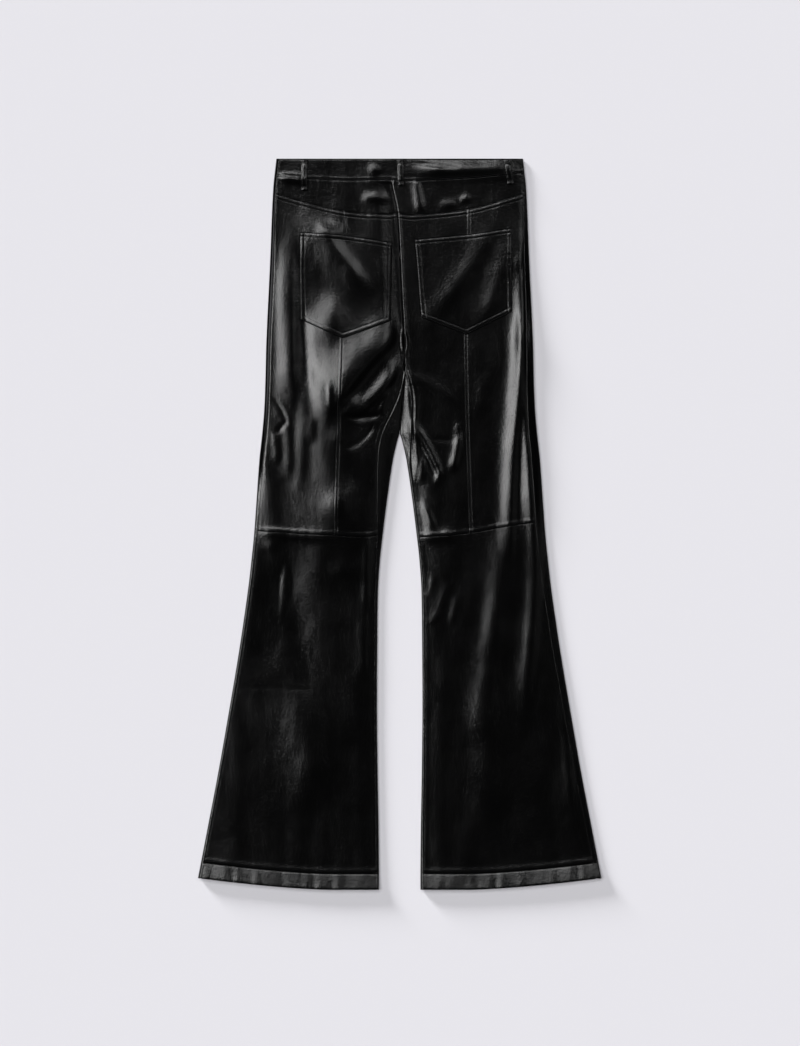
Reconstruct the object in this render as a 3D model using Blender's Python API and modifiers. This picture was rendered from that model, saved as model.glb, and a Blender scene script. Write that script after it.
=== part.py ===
"""Faux leather flared trousers, laid out flat on their front with the back uppermost.

Metres, +Z up, +Y towards the waist, +X to the right as seen from above. The origin is in the middle of the
bottom of the garment's box, so the trousers lie on the plane z = 0.

A place on the garment is given by two tailor's measures: across, from the line between the legs, and down,
from the top edge of the waistband. The upper layer is the back of the trousers. The lower layer is the front,
which turns up round both sides and between the legs to meet the back at the seams.
"""

import math
from collections import namedtuple

import bmesh
import bpy
from mathutils import Vector

GARMENT = "Flared_Trousers"

# Driving dimensions
LENGTH = 1.066  # waist edge to the lowest point of the hem
LEATHER = 0.0013  # one thickness of the coated cloth
BAND_WALL = 0.0021  # the waistband is folded double
HEM_WALL = 0.0023  # the hem is turned up once
SEAM_GAP = 0.0003  # between two pieces that are sewn together
LAYER_ROOM = 0.0038  # most air between the two layers
CARRY_EASE = 0.0004  # softens the start of the lower layer's rise
LEAST_ROOM = 0.0009  # least air between the two layers

# Landmarks, measured down from the waist edge
WAISTBAND = 0.035  # just below the lowest point of the waistband's seam
CROTCH = 0.298  # where the four seams cross
FORK = 0.400  # where the legs part
HEM_DEPTH = 0.0225
HEM_RISE = 0.0175  # how much higher the hem lies at the side than between the legs
HEM_LEVEL = 0.100  # the hem is level as far across as this
HEM_BEND = 1.5

# Rounding of the layers next to the folds and the centre back seam
SIDE_RISE = 0.040
INNER_RISE = 0.030
FORK_EDGE = 0.0004  # how far the pressed fold bulges where the legs part
FORK_RUN = 0.045  # over this length the fold grows to its full roundness

# Fly, button and belt loops
FLY_WIDTH = 0.038
FLY_FOOT = 0.185
FLY_CURVE = 0.055
FLY_ROWS = 10
FLY_CELLS = 4
FLY_TIP = 0.12  # the flap's width at its curved foot, as a share of its full width
FLY_FADE = 0.030
BUTTON_RADIUS = 0.0075
BUTTON_THICK = 0.0020
BUTTON_SIDES = 28
BUTTON_BEVEL = 0.0004
BUTTON_AT = (-0.012, 0.0155)  # across, down
BUTTON_SINK = 0.0026  # how far the button lifts the front off the floor
BUTTON_FLAT = 0.012  # the front is level round the button as far as this
BUTTON_FADE = 0.060  # and then comes down to the floor over this length
BAND_END = 0.003  # where the overlapping end of the front waistband lies
LOOP_WIDTH = 0.0095
LOOP_WALL = 0.0016
LOOP_CLEAR = 0.0010  # between a loop's sewn ends and what they lie on
LOOP_ARCH = 0.0012  # how much higher its middle stands
LOOP_FULLNESS = 0.7  # how soon the arch reaches its height: 1 is a half wave, less is fuller
LOOP_ROWS = 6
LOOP_CELLS = 2

# Grid of the panels
COLUMNS = ("side", "outer", "middle", "inner", "centre")  # side seam, pocket, back seam, pocket and centre
CELLS = (3, 4, 4, 2)  # between them
UNDER_SHARES = (0.0, 0.08, 0.22, 0.38, 0.54, 0.70, 0.85, 0.955, 1.0)  # columns of the front on the floor
ROUND_CELLS = 4
STRIP_CELLS = 2
WEDGE_START = 0.35  # where the front's point starts between the crotch row and the next
LEAST_SLANT = 0.4  # a slanting edge is drawn in by no more than half a seam gap over this
POCKET_LIFT = LEATHER + 0.0004  # outer face of a pocket above that of the panel it lies on

Outline = namedtuple("Outline", "down half_width leg_gap")
OUTLINE = (
    Outline(0.000, 0.1800, 0.0000),
    Outline(0.045, 0.1847, 0.0000),
    Outline(0.147, 0.1890, 0.0000),
    Outline(0.264, 0.1945, 0.0000),
    Outline(0.330, 0.1962, 0.0000),
    Outline(0.370, 0.1980, 0.0000),
    Outline(0.400, 0.2006, 0.0000),
    Outline(0.410, 0.2017, 0.0029),
    Outline(0.439, 0.2048, 0.0095),
    Outline(0.498, 0.2090, 0.0182),
    Outline(0.549, 0.2127, 0.0245),
    Outline(0.585, 0.2164, 0.0285),
    Outline(0.629, 0.2215, 0.0314),
    Outline(0.717, 0.2343, 0.0325),
    Outline(0.804, 0.2489, 0.0329),
    Outline(0.892, 0.2643, 0.0320),
    Outline(0.980, 0.2811, 0.0305),
    Outline(1.048, 0.2942, 0.0299),
    Outline(1.066, 0.2976, 0.0299),
)

# Thickness of the folded side edges, and how far the upper layer stands above it in the middle of each leg
Loft = namedtuple("Loft", "down edge crown")
LOFT = (
    Loft(0.000, 0.0060, 0.0006),
    Loft(0.035, 0.0060, 0.0012),
    Loft(0.070, 0.0052, 0.0024),
    Loft(0.170, 0.0052, 0.0042),
    Loft(0.270, 0.0052, 0.0048),
    Loft(0.400, 0.0052, 0.0032),
    Loft(0.550, 0.0052, 0.0016),
    Loft(0.750, 0.0052, 0.0010),
    Loft(0.980, 0.0054, 0.0008),
    Loft(1.040, 0.0066, 0.0006),
    Loft(1.066, 0.0066, 0.0006),
)

# Centre back seam, and below the crotch the line where the two inner thighs press together
Valley = namedtuple("Valley", "down across")
VALLEY = (
    Valley(0.000, -0.0140),
    Valley(0.031, -0.0128),
    Valley(0.077, -0.0040),
    Valley(0.147, 0.0004),
    Valley(0.206, 0.0033),
    Valley(0.244, 0.0055),
    Valley(0.298, 0.0069),
    Valley(0.323, 0.0068),
    Valley(0.347, 0.0044),
    Valley(0.369, 0.0020),
    Valley(0.400, 0.0000),
)

# Each line runs round the back from the side seam to the centre. Its columns say how far down it is at the
# side seam, the outer edge of the pocket, the lengthwise back seam, the pocket's inner edge and the centre,
# and how many rows of the grid lie between it and the line above.
Line = namedtuple("Line", "name rows side outer middle inner centre")
LEFT_LINES = (
    Line("waist edge", 0, 0.000, 0.000, 0.000, 0.000, 0.000),
    Line("band seam", 1, 0.026, 0.029, 0.032, 0.031, 0.031),
    Line("yoke seam", 2, 0.051, 0.061, 0.077, 0.081, 0.079),
    Line("pocket top", 2, 0.106, 0.107, 0.112, 0.122, 0.122),
    Line("pocket foot", 6, 0.232, 0.235, 0.263, 0.237, 0.236),
    Line("crotch", 3, 0.290, 0.293, 0.305, 0.299, 0.298),
    Line("fork", 5, 0.400, 0.400, 0.401, 0.400, 0.400),
    Line("knee seam", 6, 0.543, 0.547, 0.550, 0.552, 0.550),
    Line("hem stitches", 13, 1.026, 1.036, 1.041, 1.043, 1.0435),
)
RIGHT_LINES = (
    Line("waist edge", 0, 0.000, 0.000, 0.000, 0.000, 0.000),
    Line("band seam", 1, 0.021, 0.023, 0.029, 0.033, 0.031),
    Line("yoke seam", 2, 0.051, 0.056, 0.073, 0.082, 0.079),
    Line("pocket top", 2, 0.099, 0.101, 0.110, 0.118, 0.122),
    Line("pocket foot", 6, 0.221, 0.224, 0.257, 0.232, 0.236),
    Line("crotch", 3, 0.288, 0.290, 0.303, 0.299, 0.298),
    Line("fork", 5, 0.400, 0.400, 0.401, 0.400, 0.400),
    Line("knee seam", 6, 0.531, 0.536, 0.546, 0.551, 0.552),
    Line("hem stitches", 13, 1.026, 1.033, 1.039, 1.044, 1.0435),
)

# How far out from the line between the legs each column of the grid runs, and how far the front turns up
# round the side fold before it meets the back at the side seam
Guide = namedtuple("Guide", "down turn outer middle inner")
LEFT_GUIDES = (
    Guide(0.000, 0.0055, 0.1460, 0.0780, 0.0290),
    Guide(0.031, 0.0055, 0.1460, 0.0780, 0.0270),
    Guide(0.077, 0.0055, 0.1460, 0.0777, 0.0170),
    Guide(0.117, 0.0055, 0.1463, 0.0777, 0.0113),
    Guide(0.147, 0.0055, 0.1460, 0.0785, 0.0114),
    Guide(0.206, 0.0055, 0.1453, 0.0812, 0.0121),
    Guide(0.244, 0.0055, 0.1449, 0.0825, 0.0128),
    Guide(0.298, 0.0055, 0.1455, 0.0842, 0.0150),
    Guide(0.323, 0.0055, 0.1460, 0.0850, 0.0185),
    Guide(0.347, 0.0055, 0.1466, 0.0857, 0.0245),
    Guide(0.369, 0.0055, 0.1472, 0.0863, 0.0310),
    Guide(0.400, 0.0055, 0.1480, 0.0873, 0.0430),
    Guide(0.430, 0.0055, 0.1490, 0.0885, 0.0490),
    Guide(0.514, 0.0055, 0.1510, 0.0914, 0.0540),
    Guide(0.550, 0.0055, 0.1520, 0.0916, 0.0560),
    Guide(0.640, 0.0055, 0.1620, 0.1050, 0.0640),
    Guide(0.850, 0.0055, 0.1940, 0.1330, 0.0810),
    Guide(1.066, 0.0055, 0.2290, 0.1620, 0.0970),
)
RIGHT_GUIDES = (
    Guide(0.000, 0.0055, 0.1640, 0.1026, 0.0100),
    Guide(0.031, 0.0055, 0.1640, 0.1026, 0.0110),
    Guide(0.077, 0.0060, 0.1640, 0.1026, 0.0170),
    Guide(0.117, 0.0065, 0.1639, 0.1020, 0.0208),
    Guide(0.147, 0.0070, 0.1639, 0.1005, 0.0240),
    Guide(0.206, 0.0080, 0.1639, 0.0985, 0.0285),
    Guide(0.244, 0.0090, 0.1639, 0.0975, 0.0315),
    Guide(0.298, 0.0100, 0.1650, 0.0983, 0.0325),
    Guide(0.318, 0.0105, 0.1653, 0.0988, 0.0350),
    Guide(0.337, 0.0110, 0.1656, 0.0991, 0.0390),
    Guide(0.360, 0.0115, 0.1658, 0.0997, 0.0420),
    Guide(0.400, 0.0125, 0.1655, 0.1007, 0.0450),
    Guide(0.440, 0.0130, 0.1650, 0.1020, 0.0480),
    Guide(0.498, 0.0130, 0.1630, 0.1042, 0.0530),
    Guide(0.550, 0.0130, 0.1610, 0.1062, 0.0570),
    Guide(0.640, 0.0120, 0.1660, 0.1120, 0.0660),
    Guide(0.850, 0.0100, 0.1960, 0.1370, 0.0820),
    Guide(1.066, 0.0080, 0.2290, 0.1650, 0.0980),
)

# Inside leg seams, measured out from the line between the legs
Inseam = namedtuple("Inseam", "down across")
LEFT_INSEAM = (
    Inseam(0.298, -0.0069),
    Inseam(0.323, -0.0038),
    Inseam(0.347, 0.0021),
    Inseam(0.369, 0.0115),
    Inseam(0.400, 0.0262),
    Inseam(0.430, 0.0320),
    Inseam(0.550, 0.0335),
    Inseam(0.640, 0.0365),
    Inseam(0.850, 0.0370),
    Inseam(1.066, 0.0345),
)
RIGHT_INSEAM = (
    Inseam(0.298, 0.0069),
    Inseam(0.318, 0.0130),
    Inseam(0.337, 0.0180),
    Inseam(0.360, 0.0200),
    Inseam(0.400, 0.0182),
    Inseam(0.440, 0.0168),
    Inseam(0.498, 0.0228),
    Inseam(0.550, 0.0290),
    Inseam(0.640, 0.0362),
    Inseam(0.850, 0.0372),
    Inseam(1.066, 0.0345),
)

Leg = namedtuple("Leg", "name sign lines guides inseam")
LEGS = (
    Leg("left", -1, LEFT_LINES, LEFT_GUIDES, LEFT_INSEAM),
    Leg("right", 1, RIGHT_LINES, RIGHT_GUIDES, RIGHT_INSEAM),
)

# The largest folds of the upper layer: where the crest or the trough starts and ends, how high it stands
# (below zero for a trough), half its breadth, and how far its middle bows off the straight line
Fold = namedtuple("Fold", "across0 down0 across1 down1 height breadth bow")
FOLD_OVERRUN = 0.3  # how far a fold runs on past each end, as a share of its length
FOLD_FADE = 0.5  # and over how long a share of it the fold comes up
FOLD_REACH = 3.0  # a fold is nothing past this many times its half breadth
FOLDS = (
    # left thigh and seat
    Fold(-0.166, 0.110, -0.168, 0.370, 0.0034, 0.015, 0.002),
    Fold(-0.151, 0.150, -0.150, 0.360, -0.0022, 0.009, 0.002),
    Fold(-0.108, 0.235, -0.100, 0.335, 0.0032, 0.017, 0.004),
    Fold(-0.078, 0.285, -0.022, 0.262, 0.0026, 0.014, 0.003),
    Fold(-0.008, 0.308, -0.078, 0.374, 0.0040, 0.010, 0.004),
    Fold(-0.020, 0.338, -0.052, 0.372, -0.0024, 0.007, 0.003),
    Fold(-0.018, 0.352, -0.044, 0.377, 0.0024, 0.007, 0.002),
    Fold(-0.080, 0.378, -0.034, 0.377, -0.0028, 0.006, 0.000),
    Fold(-0.084, 0.424, -0.034, 0.390, -0.0026, 0.007, 0.002),
    Fold(-0.182, 0.350, -0.166, 0.390, -0.0020, 0.005, 0.002),
    Fold(-0.150, 0.350, -0.156, 0.480, 0.0020, 0.010, 0.003),
    Fold(-0.120, 0.330, -0.128, 0.490, 0.0022, 0.010, -0.003),
    Fold(-0.100, 0.118, -0.048, 0.170, 0.0020, 0.013, 0.002),
    Fold(-0.104, 0.190, -0.106, 0.226, 0.0016, 0.016, 0.000),
    Fold(-0.106, 0.482, -0.086, 0.514, 0.0018, 0.012, 0.000),
    # left lower leg
    Fold(-0.186, 0.575, -0.204, 0.730, -0.0020, 0.010, 0.004),
    Fold(-0.166, 0.560, -0.180, 0.700, 0.0018, 0.012, 0.004),
    Fold(-0.060, 0.590, -0.052, 0.730, 0.0020, 0.011, 0.003),
    Fold(-0.120, 0.600, -0.142, 0.800, 0.0014, 0.016, 0.005),
    Fold(-0.214, 0.768, -0.116, 0.772, -0.0012, 0.008, 0.002),
    Fold(-0.190, 0.810, -0.130, 0.920, 0.0018, 0.022, 0.006),
    Fold(-0.085, 0.800, -0.080, 0.990, 0.0014, 0.016, 0.004),
    Fold(-0.240, 0.860, -0.262, 1.010, 0.0016, 0.014, 0.004),
    # right thigh and seat
    Fold(0.176, 0.185, 0.168, 0.330, 0.0030, 0.009, 0.003),
    Fold(0.168, 0.320, 0.154, 0.530, 0.0030, 0.009, 0.004),
    Fold(0.181, 0.250, 0.184, 0.520, 0.0028, 0.008, -0.002),
    Fold(0.175, 0.330, 0.169, 0.520, -0.0020, 0.006, 0.002),
    Fold(0.094, 0.132, 0.040, 0.230, 0.0022, 0.013, 0.004),
    Fold(0.152, 0.138, 0.112, 0.224, 0.0018, 0.011, 0.003),
    Fold(0.120, 0.260, 0.118, 0.400, 0.0020, 0.018, 0.004),
    Fold(0.022, 0.388, 0.060, 0.474, 0.0030, 0.008, 0.003),
    Fold(0.036, 0.376, 0.070, 0.455, -0.0022, 0.006, 0.003),
    Fold(0.076, 0.400, 0.086, 0.450, 0.0022, 0.009, 0.002),
    Fold(0.014, 0.318, 0.076, 0.352, 0.0030, 0.010, 0.003),
    Fold(0.040, 0.500, 0.072, 0.546, 0.0018, 0.012, 0.000),
    # right lower leg
    Fold(0.130, 0.550, 0.146, 0.720, 0.0020, 0.012, 0.004),
    Fold(0.186, 0.560, 0.206, 0.740, 0.0022, 0.012, 0.004),
    Fold(0.160, 0.570, 0.176, 0.720, -0.0016, 0.009, 0.003),
    Fold(0.044, 0.570, 0.068, 0.690, 0.0018, 0.009, 0.004),
    Fold(0.092, 0.720, 0.100, 0.980, 0.0018, 0.018, 0.006),
    Fold(0.168, 0.790, 0.196, 1.000, 0.0018, 0.018, 0.005),
    Fold(0.236, 0.840, 0.258, 1.010, 0.0014, 0.014, 0.004),
)

# Belt loops: where the top and the foot of each lie
Loop = namedtuple("Loop", "name across0 down0 across1 down1")
LOOPS = (
    Loop("belt_loop_left", -0.139, 0.0010, -0.139, 0.0470),
    Loop("belt_loop_centre", 0.001, 0.0010, 0.002, 0.0400),
    Loop("belt_loop_right", 0.157, 0.0010, 0.162, 0.0380),
)

# Finishes
Finish = namedtuple("Finish", "color roughness metallic")
BLACK_LEATHER = Finish((0.012, 0.012, 0.013, 1.0), 0.32, 0.0)
DARK_METAL = Finish((0.09, 0.09, 0.095, 1.0), 0.35, 1.0)


def smooth(value):
    """Ease from 0 to 1 as value goes from 0 to 1."""
    t = min(1.0, max(0.0, value))
    return t * t * (3.0 - 2.0 * t)


def reading(table, column, down):
    """A column of a table at this distance down, on a smooth curve through its rows."""
    if down <= table[0].down:
        return getattr(table[0], column)
    if down >= table[-1].down:
        return getattr(table[-1], column)
    k = next(i for i in range(len(table) - 1) if down <= table[i + 1].down)

    def slope(i):
        lo, hi = table[max(i - 1, 0)], table[min(i + 1, len(table) - 1)]
        return (getattr(hi, column) - getattr(lo, column)) / (hi.down - lo.down)

    span = table[k + 1].down - table[k].down
    t = (down - table[k].down) / span
    start, end = getattr(table[k], column), getattr(table[k + 1], column)
    return (
        start * (1 + 2 * t) * (1 - t) ** 2
        + end * t * t * (3 - 2 * t)
        + span * t * (1 - t) * (slope(k) * (1 - t) - slope(k + 1) * t)
    )


def half_width(down):
    return reading(OUTLINE, "half_width", down)


def leg_gap(down):
    return max(0.0, reading(OUTLINE, "leg_gap", down)) if down > FORK else 0.0


def edge_thickness(down):
    return reading(LOFT, "edge", down)


def inner_bulge(down):
    """How far the fold at the inner edge of a leg bulges: pressed flat where the legs part."""
    full = edge_thickness(down) / 2
    return FORK_EDGE + (full - FORK_EDGE) * smooth((down - FORK) / FORK_RUN)


def hem_down(across):
    """How far down the hem's edge lies at this distance across."""
    run = max(0.0, abs(across) - HEM_LEVEL) / (half_width(LENGTH) - HEM_LEVEL)
    return LENGTH - HEM_RISE * run**HEM_BEND


def wall_at(down):
    """Thickness of one layer: double in the waistband and in the hem."""
    if down < WAISTBAND:
        return BAND_WALL
    return HEM_WALL if down > LENGTH - HEM_RISE - HEM_DEPTH else LEATHER


def fold_height(fold, across, down):
    """Height of one fold: a soft ridge or trough that fades out at its ends."""
    run_a, run_d = fold.across1 - fold.across0, fold.down1 - fold.down0
    length = math.hypot(run_a, run_d)
    da, dd = across - fold.across0, down - fold.down0
    t = (da * run_a + dd * run_d) / length**2
    off = (da * run_d - dd * run_a) / length - fold.bow * (1 - (2 * t - 1) ** 2)
    start, end = t + FOLD_OVERRUN, 1.0 + FOLD_OVERRUN - t
    if min(start, end) < 0.0 or abs(off) > FOLD_REACH * fold.breadth:
        return 0.0
    ends = smooth(start / FOLD_FADE) * smooth(end / FOLD_FADE)
    return fold.height * ends * math.exp(-((off / fold.breadth) ** 2))


def fly_lift(across, down):
    """How far the fly flap and the button hold the front off the floor."""
    flap = smooth(1 - (max(0.0, -across - FLY_WIDTH, across)) / FLY_FADE)
    flap *= smooth(1 - (down - FLY_FOOT) / FLY_FADE)
    away = math.hypot(across - BUTTON_AT[0], down - BUTTON_AT[1])
    button = smooth(1 - (away - BUTTON_FLAT) / BUTTON_FADE)
    return max((LEATHER + SEAM_GAP) * flap, BUTTON_SINK * button)


def rounding(across, down):
    """0 at the folded edges and in the centre back seam, 1 in the middle of a leg."""
    side = half_width(down) - edge_thickness(down) / 2 - abs(across)
    if down < FORK:
        inner = abs(across - reading(VALLEY, "across", down))
    else:
        inner = abs(across) - leg_gap(down) - inner_bulge(down)
    return smooth(side / SIDE_RISE) * smooth(inner / INNER_RISE)


def top_height(across, down):
    """Height of the upper layer's outer face."""
    raised = reading(LOFT, "crown", down) + sum(fold_height(f, across, down) for f in FOLDS)
    height = edge_thickness(down) + rounding(across, down) * raised
    return max(height, 2 * wall_at(down) + LEAST_ROOM + fly_lift(across, down))


def under_height(across, down):
    """Height of the lower layer's outer face: on the floor, or carried up where the upper layer is high."""
    spare = top_height(across, down) - 2 * wall_at(down) - LAYER_ROOM
    if spare < -CARRY_EASE:
        carried = 0.0
    elif spare < CARRY_EASE:
        carried = (spare + CARRY_EASE) ** 2 / (4 * CARRY_EASE)
    else:
        carried = spare
    return max(carried, fly_lift(across, down))


def top_point(across, down, lift=0.0):
    return Vector((across, LENGTH / 2 - down, top_height(across, down) + lift))


def under_point(across, down):
    return Vector((across, LENGTH / 2 - down, under_height(across, down)))


def line_downs(leg):
    """For every row of the grid, how far down it is at each of the five columns, and the row of each line."""
    downs, marks = [], {}
    for above, line in zip((None,) + leg.lines[:-1], leg.lines):
        for k in range(1, line.rows + 1):
            share = k / line.rows
            downs.append([getattr(above, n) * (1 - share) + getattr(line, n) * share for n in COLUMNS])
        if above is None:
            downs.append([getattr(line, n) for n in COLUMNS])
        marks[line.name] = len(downs) - 1
    downs.append([hem_down(column_across(leg, n, LENGTH)) for n in COLUMNS])
    marks["hem edge"] = len(downs) - 1
    return downs, marks


def column_across(leg, name, down):
    """How far out from the line between the legs a column runs."""
    if name == "side":
        return half_width(down) - reading(leg.guides, "turn", down)
    if name == "centre" and down <= CROTCH:
        return leg.sign * reading(VALLEY, "across", down)
    if name == "centre":
        return reading(leg.inseam, "across", down)
    return reading(leg.guides, name, down)


def plan(leg):
    """The grid of the back in plan, as (across, down) points, and the row of each line."""
    downs, marks = line_downs(leg)
    rows = []
    for row in downs:
        posts = [(leg.sign * column_across(leg, n, d), d) for n, d in zip(COLUMNS, row)]
        points = [posts[0]]
        for (a0, d0), (a1, d1), cells in zip(posts, posts[1:], CELLS):
            for k in range(1, cells + 1):
                points.append((a0 + (a1 - a0) * k / cells, d0 + (d1 - d0) * k / cells))
        rows.append(points)
    return rows, marks


def column_of(name):
    """Index of a named column in the plan's rows."""
    return sum(CELLS[: COLUMNS.index(name)])


def drawn_in(rows):
    """The rows with the first one moved in by half a seam gap."""
    moved = []
    last = len(rows[0]) - 1
    for j, (p, q) in enumerate(zip(rows[0], rows[1])):
        into = Vector((q[0] - p[0], q[1] - p[1])).normalized()
        before, after = rows[0][max(j - 1, 0)], rows[0][min(j + 1, last)]
        along = Vector((after[0] - before[0], after[1] - before[1])).normalized()
        step = SEAM_GAP / 2 / max(LEAST_SLANT, abs(into.cross(along)))
        moved.append((p[0] + into.x * step, p[1] + into.y * step))
    return [moved] + [list(r) for r in rows[1:]]


def turned(rows):
    return [list(r) for r in zip(*rows)]


def trimmed(rows, top=False, foot=False, start=False, end=False):
    """The rows with half a seam gap taken off the edges that are sewn to a neighbour."""
    if top:
        rows = drawn_in(rows)
    if foot:
        rows = drawn_in(rows[::-1])[::-1]
    if start:
        rows = turned(drawn_in(turned(rows)))
    if end:
        rows = turned(drawn_in(turned(rows)[::-1])[::-1])
    return rows


def material_for(name, finish):
    """A plain material for one piece, named for it."""
    material = bpy.data.materials.new(name + "_finish")
    material.use_nodes = True
    shader = material.node_tree.nodes["Principled BSDF"]
    shader.inputs["Base Color"].default_value = finish.color
    shader.inputs["Roughness"].default_value = finish.roughness
    shader.inputs["Metallic"].default_value = finish.metallic
    return material


def add_piece(name, collection, points, faces, wall, thicker=None):
    """One piece of cloth: an open surface that a Solidify modifier gives its thickness, inwards.

    thicker, where given, holds for each point its share of the full wall.
    """
    mesh = bpy.data.meshes.new(name)
    mesh.from_pydata([tuple(p) for p in points], [], faces)
    mesh.validate()
    piece = bpy.data.objects.new(name, mesh)
    collection.objects.link(piece)
    mesh.materials.append(material_for(name, BLACK_LEATHER))
    solid = piece.modifiers.new("Wall", "SOLIDIFY")
    solid.thickness = wall
    solid.offset = -1.0
    solid.use_even_offset = True
    solid.use_rim = True
    if thicker:
        group = piece.vertex_groups.new(name="wall")
        for index, share in enumerate(thicker):
            group.add([index], share, "REPLACE")
        solid.vertex_group = group.name
    return piece


def grid_faces(count_rows, count_columns, flip):
    """Quads between neighbouring rows of points, facing the other way if flip is set."""
    faces = []
    for i in range(count_rows - 1):
        for j in range(count_columns - 1):
            a = i * count_columns + j
            quad = [a, a + count_columns, a + count_columns + 1, a + 1]
            faces.append(quad[::-1] if flip else quad)
    return faces


def add_grid(name, collection, rows, wall, flip, thicker=None):
    """A piece from rows of points, all of one length."""
    points = [p for row in rows for p in row]
    return add_piece(name, collection, points, grid_faces(len(rows), len(rows[0]), flip), wall, thicker)


def back_piece(name, collection, leg, rows, wall, lift=0.0, shares=None):
    """A piece of the upper layer from its plan."""
    points = [[top_point(a, d, lift) for a, d in row] for row in rows]
    thicker = None
    if shares:
        thicker = [share for row, share in zip(rows, shares) for _ in row]
    return add_grid(name, collection, points, wall, leg.sign > 0, thicker)


def add_back(collection, leg):
    """Yoke, upper panels, pocket and lower leg of one side of the back."""
    rows, marks = plan(leg)
    outer, middle, inner = column_of("outer"), column_of("middle"), column_of("inner")

    def block(first, last, start=0, end=None):
        top, foot = marks[first], marks[last]
        stop = len(rows[0]) if end is None else end + 1
        return [row[start:stop] for row in rows[top : foot + 1]]

    yoke = trimmed(block("band seam", "yoke seam"), top=True, foot=True, start=True, end=True)
    back_piece("yoke_" + leg.name, collection, leg, yoke, LEATHER)
    for part, start, end in (("side", 0, middle), ("centre", middle, None)):
        panel = trimmed(block("yoke seam", "knee seam", start, end), True, True, True, True)
        back_piece("back_" + part + "_" + leg.name, collection, leg, panel, LEATHER)
    pocket = block("pocket top", "pocket foot", outer, inner)
    back_piece("pocket_" + leg.name, collection, leg, pocket, LEATHER, POCKET_LIFT)
    lower = trimmed(block("knee seam", "hem edge"), top=True, start=True, end=True)
    shares = [LEATHER / HEM_WALL] * (len(lower) - 2) + [1.0, 1.0]
    back_piece("lower_back_" + leg.name, collection, leg, lower, HEM_WALL, shares=shares)


def add_back_band(collection):
    """The back of the waistband, in one piece from side seam to side seam."""
    halves = []
    for leg in LEGS:
        rows, marks = plan(leg)
        halves.append(trimmed(rows[: marks["band seam"] + 1], foot=True, start=True))
    left, right = halves
    rows = [a + b[::-1][1:] for a, b in zip(left, right)]
    back_piece("waistband_back", collection, LEGS[0], rows, BAND_WALL)


def side_turn(leg, down):
    """Points of the front where it turns from the side seam round the fold to the floor."""
    width, radius = half_width(down), edge_thickness(down) / 2
    seam = column_across(leg, "side", down) + SEAM_GAP / 2
    points = [top_point(leg.sign * seam, down)]
    for k in range(ROUND_CELLS):
        angle = math.pi / 2 - math.pi * k / ROUND_CELLS
        across = width - radius + radius * math.cos(angle)
        points.append(Vector((leg.sign * across, LENGTH / 2 - down, radius + radius * math.sin(angle))))
    return points


def under_run(leg, side_down, inner_across, inner_down, above_hem=None):
    """Points of the front on the floor, from the side fold to the inner edge.

    A row runs straight, or where above_hem is given, along the hem at that distance above its edge.
    """
    start = half_width(side_down) - edge_thickness(side_down) / 2
    points = []
    for share in UNDER_SHARES:
        across = start + (inner_across - start) * share
        if above_hem is None:
            down = side_down + (inner_down - side_down) * share
        else:
            down = hem_down(across) - above_hem
        points.append(under_point(leg.sign * across, down))
    return points


def inner_turn(leg, down):
    """Points of the front between the floor and the top of the fold at the inner edge of the leg.

    The fold is a half circle, but a flat wall where the legs part.
    """
    bulge, radius = inner_bulge(down), edge_thickness(down) / 2
    roundness = (bulge - FORK_EDGE) / (radius - FORK_EDGE)
    points = []
    for k in range(1, ROUND_CELLS):
        angle = -math.pi / 2 + math.pi * k / ROUND_CELLS
        across = leg_gap(down) + SEAM_GAP / 2 + bulge - bulge * math.cos(angle)
        rise = roundness * (1 + math.sin(angle)) / 2 + (1 - roundness) * k / ROUND_CELLS
        points.append(Vector((leg.sign * across, LENGTH / 2 - down, 2 * radius * rise)))
    return points


def inner_strip(leg, down, start):
    """Points of the front on the upper layer, from its inner edge to the inside leg seam."""
    seam = column_across(leg, "centre", down) - SEAM_GAP / 2
    points = []
    for k in range(STRIP_CELLS + 1):
        across = start + (seam - start) * k / STRIP_CELLS
        points.append(top_point(leg.sign * across, down))
    return points


def add_front(collection, leg):
    """The front of one leg: round the side fold, over the floor and round the inner edge of the leg.

    Between the fork and the crotch its point lies on the upper layer, between the two inside leg seams.
    """
    downs, marks = line_downs(leg)
    crotch, fork = marks["crotch"], marks["fork"]
    heights_above_hem = {marks["hem stitches"]: HEM_DEPTH, marks["hem edge"]: 0.0}
    points, shares, parts = [], [], []
    for i in range(marks["band seam"], len(downs)):
        side_down, inner_down = downs[i][0], downs[i][-1]
        if i == marks["band seam"]:
            side_down, inner_down = side_down + SEAM_GAP / 2, inner_down + SEAM_GAP / 2
        in_leg = i >= fork
        edge = leg_gap(inner_down) + SEAM_GAP / 2 + inner_bulge(inner_down) if in_leg else SEAM_GAP / 2
        above_hem = heights_above_hem.get(i)
        outer = side_turn(leg, side_down) + under_run(leg, side_down, edge, inner_down, above_hem)
        turn = inner_turn(leg, inner_down) if in_leg else []
        strip = []
        if in_leg:
            strip = inner_strip(leg, inner_down, edge)
        elif i > crotch:
            line = leg.sign * reading(VALLEY, "across", inner_down) + SEAM_GAP / 2
            strip = inner_strip(leg, inner_down, line)
        elif i == crotch:
            tip = inner_down + (downs[i + 1][-1] - inner_down) * WEDGE_START
            line = leg.sign * reading(VALLEY, "across", tip) + SEAM_GAP / 2
            strip = inner_strip(leg, tip, line)
        first = len(points)
        points += outer + turn + strip
        share = LEATHER / HEM_WALL if above_hem is None else 1.0
        shares += [share] * (len(points) - first)
        parts.append((first, len(outer), len(turn), len(strip)))
    faces = front_faces(parts, leg.sign < 0)
    add_piece("front_" + leg.name, collection, points, faces, HEM_WALL, shares)


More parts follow.
